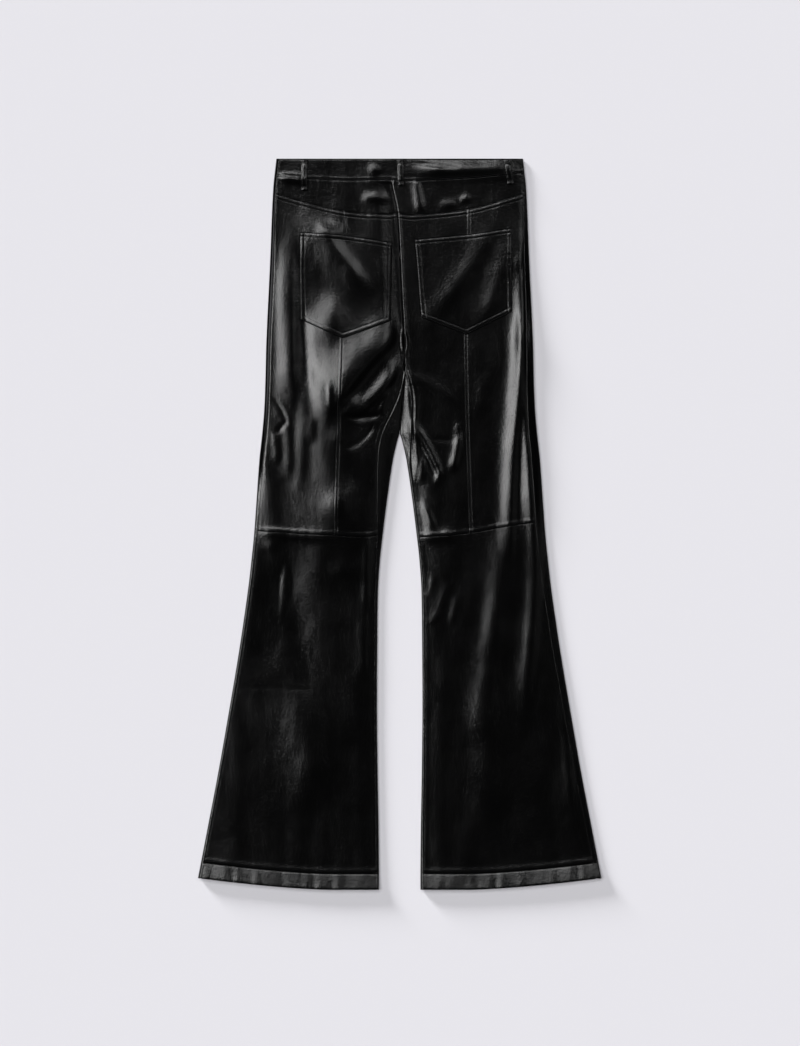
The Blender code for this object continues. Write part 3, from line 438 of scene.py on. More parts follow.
SEAM_EDGES = {
    "plain": SeamEdge(0.00012, 0.0008, pucker=0.00010, pucker_reach=0.008, wave=0.011),
    "side": SeamEdge(0.00003, 0.0008, pucker=0.00004, pucker_reach=0.006, wave=0.013),
    "centre": SeamEdge(0.0004, 0.0020, pucker=0.00010, pucker_reach=0.008, wave=0.014),
    "press": SeamEdge(0.0014, 0.0040),
    "band top": SeamEdge(0.0007, 0.0012),
    "band foot": SeamEdge(0.0001, 0.0008, 0.0003, 0.0030, 0.0014, (0.0018,), 0.0002, 0.00012, 0.006, 0.010),
    "yoke top": SeamEdge(0.00006, 0.0009, 0.00008, 0.0030, 0.0020, (), 0.0, 0.00015, 0.008, 0.012),
    "double": SeamEdge(
        0.00005, 0.0008, 0.00011, 0.0043, 0.0018, (0.0016, 0.0070), 0.00014, 0.00013, 0.010, 0.009, ROW_STEPS
    ),
    "single": SeamEdge(
        0.0002, 0.0008, 0.00015, 0.0024, 0.0014, (0.0040,), 0.0001, 0.0001, 0.008, 0.010, ROW_STEPS
    ),
    "knee upper": SeamEdge(0.0003, 0.0008, 0.0003, 0.0040, 0.0028, (), 0.0, 0.00015, 0.010, 0.013, ROW_STEPS),
    "knee lower": SeamEdge(0.00006, 0.0008, pucker=0.00012, pucker_reach=0.012, wave=0.016, steps=ROW_STEPS),
    "hem": SeamEdge(
        0.0006, 0.0011, 0.0007, 0.0272, 0.0034, (HEM_DEPTH,), 0.0003, 0.00045, 0.018, 0.024, HEM_STEPS
    ),
    "inseam back": SeamEdge(0.0002, 0.0011, 0.0004, 0.0028, 0.0016, (), 0.0, 0.0001, 0.008, 0.012),
    "inseam front": SeamEdge(0.0003, 0.0010, 0.0005, 0.0018, 0.0016, (), 0.0, 0.0001, 0.006, 0.012),
}
# The inside leg seams lie flatter below the thigh
INSEAM_KINDS = ("inseam back", "inseam front")
INSEAM_FADE = 0.47
INSEAM_FADE_RUN = 0.07
INSEAM_REST = 0.15

Loop = namedtuple("Loop", "name across0 down0 across1 down1")
LOOPS = table(
    Loop,
    ("belt_loop_left", -0.139, 0.0010, -0.139, 0.0470),
    ("belt_loop_centre", 0.001, 0.0010, 0.002, 0.0400),
    ("belt_loop_right", 0.157, 0.0010, 0.162, 0.0380),
)
LOOP_ROWS = 34
LOOP_LINES = (-0.5, -0.46, -0.40, -0.32, -0.26, -0.18, 0.0, 0.18, 0.26, 0.32, 0.40, 0.46, 0.5)
LOOP_CROWDING = 0.35  # how much closer a loop's rows of points stand near its ends
LOOP_STITCHES = 0.29  # rows of stitches, as a share of the loop's width from its middle
LOOP_ROLL = 0.0006
LOOP_EDGE_BREADTH = 0.0010
LOOP_END_BREADTH = 0.0011
LOOP_ROW_DIP = 0.00024
LOOP_ROW_BREADTH = 0.0006
LOOP_TACK_DIP = 0.0006
LOOP_TACK_DIP_AT = 0.0050
LOOP_TACK_BREADTH = 0.0022
LOOP_RUB_AT = 0.0012  # the rubbed line along a loop's edge
LOOP_RUB_BREADTH = 0.0009

# Sewing
CROSS_ROW_POINTS = 90
LONG_ROW_POINTS = 220
MID_DOWN = 0.3  # a first guess at how far down a panel is
POCKET_NEAR = 0.1  # and at how far down the pockets' tops are
SEAM_ROW_TRIM = 0.0012
BAND_ROW_TRIM = 0.0010
STITCH_STAND = 0.35  # how far a stitch's middle stands above the leather, in radii of the thread
STITCH_SEED = 7
STITCH_SLANT = 0.10
STITCH_UNEVENNESS = 0.10
TACK_SLANT = 0.3
TACK_POINTS = 6
BARTACK = 0.0030  # height of the dense stitches at a pocket's corner and a loop's end
POCKET_TACK_ROWS = 6
POCKET_TACK_PITCH = 0.0020
LOOP_ROW_POINTS = 40
LOOP_ROW_TRIM = 0.03  # as a share of the loop's length
LOOP_PITCH = 0.0028
LOOP_TACK_AT = 0.0048
LOOP_TACK_REACH = 0.36
LOOP_TACK_ROWS = 7
LOOP_TACK_PITCH = 0.0022

# Finishes: noises in cells a metre, reliefs in metres, and how much each changes the roughness
NOISE_LOW, NOISE_HIGH = 0.3, 0.7  # what a noise usually gives
PORES = 2600.0
WRINKLES = 360.0
RUB_SPOTS = 420.0
SMUDGES = 24.0
SMUDGE_POLISHES = 0.015
SMUDGE_DULLS = 0.020
MOTTLE_GLOSS = 0.010
RUB_POLISHES = 0.030
GRAIN_RELIEF = 0.0003
WRINKLE_RELIEF = 0.0010
FINE_RELIEF = 0.0001
THREAD_RIBS = 2400.0
THREAD_SMUDGES = 300.0
THREAD_GLOSS = (0.30, 0.42)
THREAD_LIGHTER = 2.2  # how many times lighter it is where it is rubbed
TURNING_MARKS = 3000.0
METAL_SMUDGES = 220.0
METAL_GLOSS = (0.26, 0.42)
METAL_LIGHTER = 1.8

# Button, turned about its axis: radius and height above its face
BUTTON_PROFILE = (
    (0.0000, 0.00055), (0.0012, 0.00052), (0.0022, 0.00060), (0.0030, 0.00085), (0.0036, 0.00080),
    (0.0044, 0.00045), (0.0052, 0.00030), (0.0058, 0.00012), (0.0064, 0.00000), (0.0070, 0.00010),
    (0.0074, 0.00045), (0.0075, 0.00085), (0.0074, 0.00140), (0.0068, 0.00180), (0.0058, 0.00195),
    (0.0000, 0.00200),
)
BUTTON_TURNS = 56

# Camera and lights: the frame's height is at the floor, and each sun's bearing, tilt from upright and width
# are in degrees
FRAME_HEIGHT = 1.527
FRAME_CENTRE = (0.0004, 0.0016)
CAMERA_HEIGHT = 6.0
FARTHEST_SEEN = 50.0
SENSOR = 36.0
FLOOR_SIZE = 9.0
FLOOR_DROP = 0.0002
SUN_DISTANCE = 3.0
Sun = namedtuple("Sun", "name bearing tilt width only_floor")
SUNS = table(
    Sun,
    ("left key", 174.0, 28.5, 17.5, False),
    ("corner key", 142.0, 28.5, 17.5, False),
    ("top key", 108.0, 28.5, 17.5, False),
    ("right key", 40.0, 28.0, 15.0, False),
    ("fill", -10.0, 36.0, 30.0, False),
    ("skim", 133.0, 78.0, 14.0, True),
    ("floor", 90.0, 2.0, 12.0, True),
)


def smooth(value):
    """Ease from 0 to 1 as value goes from 0 to 1."""
    t = np.clip(value, 0.0, 1.0)
    return t * t * (3.0 - 2.0 * t)


def bell(offset, breadth):
    """1 at no offset, and nearly 0 at twice the breadth."""
    return np.exp(-((offset / breadth) ** 2))


def curve_through(places, values, at):
    """The values at these places, on a smooth curve through the given ones."""
    places, values = np.asarray(places, float), np.asarray(values, float)
    slopes = np.empty(len(places))
    slopes[1:-1] = (values[2:] - values[:-2]) / (places[2:] - places[:-2])
    slopes[0] = (values[1] - values[0]) / (places[1] - places[0])
    slopes[-1] = (values[-1] - values[-2]) / (places[-1] - places[-2])
    at = np.clip(at, places[0], places[-1])
    k = np.clip(np.searchsorted(places, at, side="right") - 1, 0, len(places) - 2)
    span = places[k + 1] - places[k]
    t = (at - places[k]) / span
    return (
        values[k] * (1 + 2 * t) * (1 - t) ** 2
        + values[k + 1] * t * t * (3 - 2 * t)
        + span * t * (1 - t) * (slopes[k] * (1 - t) - slopes[k + 1] * t)
    )


def reading(rows, column, down):
    """A column of a table at these distances down."""
    return curve_through([row.down for row in rows], [getattr(row, column) for row in rows], down)


def half_width(down):
    """How far from the middle the side's folded edge is."""
    return reading(OUTLINE, "half_width", down)


def leg_gap(down):
    """How far from the middle the inner edge of a leg is, below the fork."""
    return np.where(down > FORK, np.maximum(0.0, reading(OUTLINE, "leg_gap", down)), 0.0)


def edge_thickness(down):
    """Height of the folded edges above the floor."""
    return reading(LOFT, "edge", down)


def inner_bulge(down):
    """How far the fold at the inner edge of a leg bulges: pressed flat where the legs part."""
    return FORK_EDGE + (edge_thickness(down) / 2 - FORK_EDGE) * smooth((down - FORK) / FORK_RUN)


def hem_down(across):
    """How far down the hem's edge lies at this distance across."""
    run = np.maximum(0.0, abs(across) - HEM_LEVEL) / (half_width(LENGTH) - HEM_LEVEL)
    return LENGTH - HEM_RISE * run**HEM_BEND


def wall_at(down):
    """Thickness of one layer: double in the waistband and in the hem."""
    hem = np.where(down > LENGTH - HEM_RISE - HEM_DEPTH, HEM_WALL, LEATHER)
    return np.where(down < WAISTBAND, BAND_WALL, hem)


def side_crest(down):
    """How far from the middle the top layer turns down into the fold at the side."""
    return half_width(down) - edge_thickness(down) / 2


def in_from_gap(across, down):
    """How far in a place is from the fold at the inner edge of its leg."""
    return abs(across) - leg_gap(down) - inner_bulge(down)


def into_hem(across, down):
    """How far past the fold of the turned up hem a place is."""
    return down - hem_down(across) + HEM_DEPTH


def crease_height(crease, lean, across, down, blunt=0.0):
    """Height of one soft ridge or trough, which fades out over at least blunt times its breadth."""
    run_a, run_d = crease.across1 - crease.across0, crease.down1 - crease.down0
    length = math.hypot(run_a, run_d)
    da, dd = across - crease.across0, down - crease.down0
    t = (da * run_a + dd * run_d) / length**2
    off = (da * run_d - dd * run_a) / length - crease.bow * (1 - (2 * t - 1) ** 2)
    breadth = np.where(off > 0, crease.breadth * lean, crease.breadth)
    overrun = max(FOLD_OVERRUN, BLUNT_OVERRUN * blunt * crease.breadth / length)
    fade = max(FOLD_FADE, blunt * crease.breadth / length)
    start, end = t + overrun, 1.0 + overrun - t
    near = (np.minimum(start, end) > 0.0) & (abs(off) < FOLD_REACH * breadth)
    ends = smooth(start / fade) * smooth(end / fade)
    return np.where(near, crease.height * ends * bell(off, breadth), 0.0)


def fly_lift(across, down):
    """How far the fly flap and the button hold the front off the floor."""
    flap = smooth(1 - np.maximum(0.0, np.maximum(-across - FLY_WIDTH, across)) / FLY_FADE)
    flap = flap * smooth(1 - (down - FLY_FOOT) / FLY_FADE)
    away = np.hypot(across - BUTTON_AT[0], down - BUTTON_AT[1])
    button = smooth(1 - (away - BUTTON_FLAT) / BUTTON_FADE)
    return np.maximum((LEATHER + SEAM_GAP) * flap, BUTTON_SINK * button)


def rounding(across, down, side_rise=SIDE_RISE, inner_rise=INNER_RISE):
    """0 at the folded edges and in the centre back seam, 1 in the middle of a leg."""
    seat = abs(across - reading(VALLEY, "across", down))
    inner = np.where(down < FORK, seat, in_from_gap(across, down))
    return smooth((side_crest(down) - abs(across)) / side_rise) * smooth(inner / inner_rise)


def form_height(across, down):
    """Height of the upper layer's outer face on the solids."""
    raised = reading(LOFT, "crown", down) + sum(crease_height(f, 1.0, across, down) for f in FOLDS)
    height = edge_thickness(down) + rounding(across, down) * raised
    return np.maximum(height, 2 * wall_at(down) + LEAST_ROOM + fly_lift(across, down))


def under_height(across, down):
    """Height of the lower layer's outer face: on the floor, or carried up where the upper layer is high."""
    spare = form_height(across, down) - 2 * wall_at(down) - LAYER_ROOM
    eased = np.maximum(0.0, spare + CARRY_EASE) ** 2 / (4 * CARRY_EASE)
    carried = np.where(spare < CARRY_EASE, eased, spare)
    return np.maximum(carried, fly_lift(across, down))


def undulation(across, down):
    """Soft, uneven waves of the leather."""
    total = np.zeros(across.size)
    places = np.stack([across.ravel(), down.ravel()], axis=1)
    for wave in WAVES:
        scaled = places / (wave.across, wave.down)
        total += [wave.height * noise.noise((a, d, wave.seed)) for a, d in scaled.tolist()]
    return total.reshape(across.shape)


def ease_out(value):
    """From 0 to 1 as value goes from 0 to 1, at once steep."""
    return 1.0 - (1.0 - np.clip(value, 0.0, 1.0)) ** 2


def quick_rounding(across, down):
    """As rounding, with the steeper rises of the leather that shows."""
    downs, *columns = zip(*RISES)
    seat_rise, left_rise, right_rise = (np.interp(down, downs, column) for column in columns)
    side = side_crest(down) - abs(across)
    from_side = ease_out(side / np.where(across < 0, left_rise, right_rise))
    seat = across - reading(VALLEY, "across", down)
    gentle = smooth(abs(seat) / INNER_RISE)
    steep = ease_out(seat / seat_rise) * (1 + SEAT_LIP * np.exp(-np.maximum(0.0, seat) / SEAT_RUN))
    eased = smooth((down - SEAT_END) / (FORK - SEAT_END))
    at_seat = np.where(seat > 0, steep + (gentle - steep) * eased, gentle)
    in_leg = smooth(in_from_gap(across, down) / INNER_RISE)
    return from_side * np.where(down < FORK, at_seat, in_leg)


def leather_height(across, down):
    """Height of the upper layer's outer face, with the creases that show."""
    creases = undulation(across, down) + sum(crease_height(c, c.lean, across, down, BLUNT) for c in CREASES)
    creases = creases * bpy.context.scene.trousers_leather.crease_strength
    share = EDGE_SHARE + (1 - EDGE_SHARE) * rounding(across, down, SHORT_SIDE_RISE, SHORT_INNER_RISE)
    crown = reading(LOFT, "crown", down) * quick_rounding(across, down)
    hem = HEM_LIFT * np.clip(into_hem(across, down) / HEM_DEPTH, 0.0, 1.0)
    height = edge_thickness(down) + crown + creases * share + hem
    least = under_height(across, down) + 2 * wall_at(down) + FINE_ROOM
    return np.maximum(height, least)


def ripple(along, wave):
    """Uneven puckers along a seam."""
    turn = 2 * math.pi * along / wave
    swell = RIPPLE_REST + (1 - RIPPLE_REST) * np.sin(turn / RIPPLE_BEAT + 1.0)
    waves = sum(part.height * np.sin(turn * part.rate + part.start) for part in RIPPLES)
    return swell * waves / RIPPLE_PEAK


def edge_relief(kind, distance, along):
    """Height that an edge adds to its panel at this distance from it."""
    edge = SEAM_EDGES[kind]
    shown = 1.0
    if kind in INSEAM_KINDS:
        shown = INSEAM_REST + (1 - INSEAM_REST) * smooth((INSEAM_FADE - along) / INSEAM_FADE_RUN)
    relief = -edge.roll * shown * bell(distance, edge.reach)
    relief = relief + edge.ridge * shown * bell(distance - edge.ridge_at, edge.ridge_breadth)
    for row in edge.rows:
        relief = relief - edge.dip * bell(distance - row, DIP_BREADTH)
    return relief + edge.pucker * bell(distance, edge.pucker_reach) * ripple(along, edge.wave)


def edge_rub(kind, distance):
    """How much the leather is rubbed at this distance from an edge."""
    edge = SEAM_EDGES[kind]
    ridge = bell(distance - edge.ridge_at, edge.ridge_breadth) if edge.ridge else 0.0
    return np.maximum(ridge, bell(distance, edge.reach) * EDGE_RUB)


def column(leg, name):
    """A column of the back, as a function that gives how far across it runs."""

    def out(down):
        if name == "side":
            return half_width(down) - reading(leg.guides, "turn", down)
        if name == "centre":
            seat = leg.sign * reading(VALLEY, "across", down)
            return np.where(down <= CROTCH, seat, reading(leg.inseam, "across", down))
        return reading(leg.guides, name, down)

    return lambda down: leg.sign * out(down)


def posts_of(leg, name):
    """How far down one of the lines round the back is, at each column."""
    return next(row for row in leg.lines if row.name == name)


def line(leg, name, straight=False):
    """A line round the back, as a function that gives how far down it is."""
    if name == "hem edge":
        return hem_down
    posts = posts_of(leg, name)
    downs = [getattr(posts, c) for c in COLUMNS][::-1]
    places = [leg.sign * float(column(leg, c)(d)) for c, d in zip(COLUMNS[::-1], downs)]
    if straight:
        return lambda across: np.interp(leg.sign * across, places, downs)
    return lambda across: curve_through(places, downs, leg.sign * across)


def slope_of(edge, at):
    """Slope of an edge at these places along it."""
    return (edge(at + SLOPE_STEP) - edge(at - SLOPE_STEP)) / (2 * SLOPE_STEP)


# A panel of the upper layer: its low and high edges are functions of down, its top and foot of across
Panel = namedtuple("Panel", "name low high top foot kinds wall lift")
SIDES = ("low", "high", "top", "foot")


def grid_lines(length, first, last, cell):
    """The lines of a grid, each a share of the way and a shift: close together near the edges."""
    count = max(2, round((length - first[-1] - last[-1]) / cell))
    lines = [(0.0, step) for step in first]
    for k in range(1, count):
        lines.append((k / count, first[-1] * (1 - k / count) - last[-1] * k / count))
    lines += [(1.0, -step) for step in last[::-1]]
    return np.array(lines).T


def panel_grid(panel):
    """Across and down at every point of a panel."""
    steps = {side: SEAM_EDGES[panel.kinds[side]].steps for side in SIDES}
    down = np.array([[panel.top(0.0) / 2 + panel.foot(0.0) / 2]])
    across = (panel.low(down) + panel.high(down)) / 2
    down = (panel.top(across) + panel.foot(across)) / 2
    width = (panel.high(down) - panel.low(down)).item()
    height = (panel.foot(across) - panel.top(across)).item()
    share_a, shift_a = grid_lines(width, steps["low"], steps["high"], CELL)
    share_d, shift_d = grid_lines(height, steps["top"], steps["foot"], CELL)
    for _ in range(GRID_PASSES):
        across = panel.low(down) * (1 - share_a) + panel.high(down) * share_a + shift_a
        down = panel.top(across) * (1 - share_d[:, None]) + panel.foot(across) * share_d[:, None]
        down = down + shift_d[:, None]
    return across, down


def edge_distances(panel, across, down):
    """How far each point is from each edge of its panel, and how far along that edge."""
    low, high = panel.low(down), panel.high(down)
    top, foot = panel.top(across), panel.foot(across)
    return {
        "low": ((across - low) / np.hypot(1, slope_of(panel.low, down)), down),
        "high": ((high - across) / np.hypot(1, slope_of(panel.high, down)), down),
        "top": ((down - top) / np.hypot(1, slope_of(panel.top, across)), across),
        "foot": ((foot - down) / np.hypot(1, slope_of(panel.foot, across)), across),
    }


def panel_height(panel, across, down):
    """Height of a panel's outer face, and how much it is rubbed."""
    height = leather_height(across, down)
    rub = np.zeros_like(height)
    for side, (distance, along) in edge_distances(panel, across, down).items():
        height = height + edge_relief(panel.kinds[side], distance, along)
        rub = np.maximum(rub, edge_rub(panel.kinds[side], distance))
    return height + panel.lift(panel, across, down), rub


def no_lift(panel, across, down):
    """A panel that isn't sewn onto another one."""
    return 0.0


def pocket_share(panel, across, down):
    """How much of its thickness a pocket has: little at its sewn edge."""
    nearest = np.min([d for d, _ in edge_distances(panel, across, down).values()], axis=0)
    return POCKET_EDGE + (1 - POCKET_EDGE) * smooth(nearest / POCKET_EDGE_RUN)


def pocket_lift(panel, across, down):
    """How far a pocket stands above the panels it is sewn onto."""
    return POCKET_LIFT * pocket_share(panel, across, down)


def edges_between(leg, inner, outer):
    """The low and the high edge of a panel that lies between two columns."""
    return (column(leg, inner), column(leg, outer))[:: leg.sign]


def back_panel(leg, name, inner, outer, top, foot, inner_kind, outer_kind, top_kind, foot_kind):
    """A panel of the back, between two columns and two lines, with half a seam's gap round it."""
    half = SEAM_GAP / 2
    low, high = edges_between(leg, inner, outer)
    upper, lower = line(leg, top), line(leg, foot)
    at_hem = foot == "hem edge"
    foot_gap = 0.0 if at_hem else half
    return Panel(
        name + "_" + leg.name,
        lambda down: low(down) + half,
        lambda down: high(down) - half,
        lambda across: upper(across) + half,
        lambda across: lower(across) - foot_gap,
        dict(zip(SIDES, (*(inner_kind, outer_kind)[:: leg.sign], top_kind, foot_kind))),
        HEM_WALL if at_hem else LEATHER,
        no_lift,
    )


def back_panels(leg):
    """The panels of one side of the back. The lengthwise seam is stitched on its left side."""
    side_kind, centre_kind = ("plain", "single")[:: leg.sign]
    cuts = (
        ("yoke", "centre", "side", "band seam", "yoke seam", "centre", "side", "yoke top", "plain"),
        ("back_side", "middle", "side", "yoke seam", "knee seam", side_kind, "side", "double", "knee upper"),
        ("back_centre", "centre", "middle", "yoke seam", "knee seam",
         "inseam back", centre_kind, "double", "knee upper"),
        ("lower_back", "centre", "side", "knee seam", "hem edge", "inseam back", "side", "knee lower", "hem"),
    )
    return [back_panel(leg, *cut) for cut in cuts]


def pocket_panel(leg):
    """The patch pocket of one side, with its pointed foot."""
    low, high = edges_between(leg, "inner", "outer")
    top, foot = line(leg, "pocket top"), line(leg, "pocket foot", straight=True)
    kinds = dict.fromkeys(SIDES, "double")
    return Panel("pocket_" + leg.name, low, high, top, foot, kinds, POCKET_WALL, pocket_lift)


def band_panel():
    """The back of the waistband, in one piece from side seam to side seam."""
    left, right = line(LEFT, "band seam"), line(RIGHT, "band seam")
    low, high = column(LEFT, "side"), column(RIGHT, "side")
    middle = reading(VALLEY, "across", WAISTBAND)
    return Panel(
        "waistband_back",
        lambda down: low(down) + SEAM_GAP / 2,
        lambda down: high(down) - SEAM_GAP / 2,
        lambda across: 0.0 * across,
        lambda across: np.where(across < middle, left(across), right(across)) - SEAM_GAP / 2,
        dict(zip(SIDES, ("side", "side", "band top", "band foot"))),
        BAND_WALL,
        no_lift,
    )


def placed(across, down, height):
    """Points in metres from across, down and height."""
    return np.stack([across, LENGTH / 2 - down, height], axis=-1)


def grid_quads(index):
    """Quads between the points of a grid whose faces point up; an index below 0 means no point there."""
    quads = np.stack([index[:-1, :-1], index[1:, :-1], index[1:, 1:], index[:-1, 1:]], axis=-1).reshape(-1, 4)
    return quads[(quads >= 0).all(axis=1)]


def longest(points):
    """The longest row of a grid of points."""
    return float(np.linalg.norm(np.diff(points, axis=1), axis=2).sum(axis=1).max())


def add_object(name, data):
    """A new object in the scene."""
    thing = bpy.data.objects.new(name, data)
    bpy.context.scene.collection.objects.link(thing)
    return thing


def add_leather(
    name, points, wall, rub, shares=None, there=None, turned=False, length=None
):
    """One piece of leather, from a grid of points: an open surface, its wall, its finish and its place.

    there leaves points out, and shares gives the thickness at each point as a share of the wall. The length
    of its longest column, or the length given, is worked out but not used.
    """
    if there is None:
        there = np.ones(rub.shape, bool)
    index = np.full(rub.shape, -1)
    index[there] = np.arange(there.sum())
    quads = grid_quads(index)[:, :: -1 if turned else 1]
    mesh = bpy.data.meshes.new(name)
    mesh.from_pydata(points[there].tolist(), [], quads.tolist())
    mesh.shade_smooth()
    mesh.attributes.new("rub", "FLOAT", "POINT").data.foreach_set("value", rub[there].astype(np.float32))
    mesh.materials.append(shared_material("black_faux_leather", leather_look))
    piece = add_object(name + "_leather", mesh)
    solid = piece.modifiers.new("Wall", "SOLIDIFY")
    solid.thickness = wall
    solid.offset = -1.0
    if shares is not None:
        group = piece.vertex_groups.new(name="wall")
        rounded = np.round(shares[there], 2)
        for share in np.unique(rounded):
            group.add(np.flatnonzero(rounded == share).tolist(), float(share), "REPLACE")
        solid.vertex_group = group.name
    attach(piece, BODY)
    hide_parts(name)
    length = length or longest(points.swapaxes(0, 1))


def hem_shares(across, down):
    """Thickness of a wall that is doubled at its hem, as a share of the doubled one."""
    doubled = smooth(into_hem(across, down) / HEM_STEP + 0.5)
    return LEATHER / HEM_WALL + (1 - LEATHER / HEM_WALL) * doubled


def add_panel(panel):
    """A panel of the upper layer."""
    across, down = panel_grid(panel)
    height, rub = panel_height(panel, across, down)
    shares = None
    if panel.lift is pocket_lift:
        shares = pocket_share(panel, across, down)
    elif panel.wall == HEM_WALL:
        shares = hem_shares(across, down)
    add_leather(panel.name, placed(across, down, height), panel.wall, rub, shares)


def front_rows(leg):
    """Rows of the front: how far down at the side and at the inner edge, and how much it follows the hem."""
    rows = []
    stops = leg.lines[1:]
    for above, below in zip(stops, stops[1:]):
        count = max(1, round((below.centre - above.centre) / FRONT_CELL))
        last = below.name == "hem stitches"
        for share in np.arange(count) / count:
            side = above.side + (below.side - above.side) * share
            inner = above.centre + (below.centre - above.centre) * share
            rows.append((side, inner, share if last else 0.0))
    side_hem = float(hem_down(column(leg, "side")(LENGTH)))
    for step in HEM_STEPS[HEM_STEPS.index(HEM_DEPTH)::-1]:
        rows.append((side_hem - step, LENGTH - step, 1.0))
    return np.array(rows).T


def fold_steps(low, high, tilt, count):
    """Outward shares and heights round a fold, from high, where it slopes down by tilt, to low."""
    first = math.pi / 2 - tilt
    turn = first + (-math.pi / 2 - first) * np.linspace(0.0, 1.0, count + 1)[1:-1]
    radius = (high - low) / (1 + np.sin(first))
    outward = (np.cos(turn) - np.cos(first)) / (1 - np.cos(first))
    return np.where(turn > 0, outward, np.cos(turn)), low + radius * (1 + np.sin(turn))


def upper_face(leg, outward, down, kind, from_seam):
    """Height of the front where it lies on top, beside a seam of this kind."""
    across = leg.sign * outward
    height = leather_height(across, down) + edge_relief(kind, from_seam, down)
    return height + free_edge_roll(across, down)


def under_face(leg, outward, down):
    """Height of the front's outer face where it lies below."""
    across = leg.sign * outward
    return under_height(across, down) - free_edge_roll(across, down)


def wrap_round_side(leg, side_down):
    """Across, down and height of the front from the side seam, over the top and round the side fold."""
    down = side_down[:, None]
    seam = leg.sign * column(leg, "side")(down) + SEAM_GAP / 2
    crest = side_crest(down)
    over = seam + (crest - seam) * np.array(TOP_SHARES)
    over_down = np.broadcast_to(down, over.shape)
    over_height = upper_face(leg, over, over_down, "side", over - seam)
    low = under_face(leg, crest, down)
    tilt = np.arctan((over_height[:, -2:-1] - over_height[:, -1:]) / (over[:, -1:] - over[:, -2:-1]))
    reach, height = fold_steps(low, over_height[:, -1:], np.clip(tilt, 0.0, MOST_TILT), ROUND_CELLS)
    across = np.hstack([over, crest + edge_thickness(down) / 2 * reach])
    return across, np.broadcast_to(down, across.shape), np.hstack([over_height, height])


def free_edge_roll(across, down):
    """How far the folded edges at the waist and at the hem roll down."""
    waist, hem = SEAM_EDGES["band top"], SEAM_EDGES["hem"]
    return -waist.roll * bell(down, waist.reach) - hem.roll * bell(hem_down(across) - down, hem.reach)


def under_dents(across, down):
    """Shallow creases of the lower layer, which lift it a little off the floor between its resting parts."""
    dents = sum(crease_height(dent, dent.lean, across, down) for dent in DENTS)
    room = form_height(across, down) - under_height(across, down) - 2 * wall_at(down)
    return np.clip(dents, 0.0, np.maximum(0.0, room - 2 * FINE_ROOM))


def add_front(leg):
    """The front of one leg: round the side fold, over the floor and round the inner edge of the leg.

    Between the fork and the crotch its point lies on the upper layer, between the two inside leg seams.
    """
    half = SEAM_GAP / 2
    side_down, inner_down, follow = front_rows(leg)
    side_down[0] += half
    inner_down[0] += half
    over, over_down, over_z = wrap_round_side(leg, side_down)
    outer, inner = side_down[:, None], inner_down[:, None]
    in_leg = inner >= FORK - HAIR
    bulge = inner_bulge(inner)
    edge = np.where(in_leg, leg_gap(inner) + half + bulge, half)

    # over the floor
    shares = smooth(np.linspace(0.0, 1.0, UNDER_COLUMNS))
    start = side_crest(outer)
    under = start + (edge - start) * shares
    straight = outer + (inner - outer) * shares
    hem_line = hem_down(under) - (LENGTH - inner)
    under_down = straight + follow[:, None] ** 2 * (hem_line - straight)
    under_z = under_face(leg, under, under_down) + under_dents(leg.sign * under, under_down)

    # on the upper layer, up to the inside leg seam
    first = np.where(in_leg, edge, leg.sign * reading(VALLEY, "across", inner) + half)
    seam = leg.sign * column(leg, "centre")(inner) - half
    strip = first + (seam - first) * (1 - np.array(STRIP_SHARES)[::-1])
    strip_down = np.broadcast_to(inner, strip.shape)
    pressed = edge_relief("press", strip - first, strip_down) * smooth(1 - (inner - FORK) / FORK_RUN)
    strip_z = upper_face(leg, strip, strip_down, "inseam front", seam - strip) + pressed

    # round the inner edge
    angle = np.linspace(-math.pi / 2, math.pi / 2, TURN_CELLS + 1)[1:-1]
    roundness = (bulge - FORK_EDGE) / (edge_thickness(inner) / 2 - FORK_EDGE)
    rise = roundness * (1 + np.sin(angle)) / 2 + (1 - roundness) * np.arange(1, TURN_CELLS) / TURN_CELLS
    turn = edge - bulge * np.cos(angle)
    turn_down = np.broadcast_to(inner, turn.shape)
    turn_z = under_z[:, -1:] + (strip_z[:, :1] - under_z[:, -1:]) * rise

    across = np.hstack([over, under, turn, strip])
    down = np.hstack([over_down, under_down, turn_down, strip_down])
    height = np.hstack([over_z, under_z, turn_z, strip_z])
    first_turn = over.shape[1] + under.shape[1]
    first_strip = first_turn + turn.shape[1]
    there = np.ones(across.shape, bool)
    there[:, first_turn:first_strip] &= in_leg
    there[:, first_strip:] &= in_leg | ((seam - first > LEAST_STRIP) & (inner > CROTCH))
    rub = np.zeros(across.shape)
    rub[:, first_strip:] = edge_rub("inseam front", seam - strip)
    add_wrapped("front_", leg, across, down, height, HEM_WALL, rub, there, hem_shares(across, down))


def add_wrapped(name, leg, across, down, height, wall, rub=None, there=None, shares=None):
    """A piece that wraps round the side fold; the length of its side seam is handed on but not used."""
    points = placed(leg.sign * across, down, height)
    rub = np.zeros(across.shape) if rub is None else rub
    length = longest(points[:, :1].swapaxes(0, 1))
    add_leather(name + leg.name, points, wall, rub, shares, there, leg.sign < 0, length)


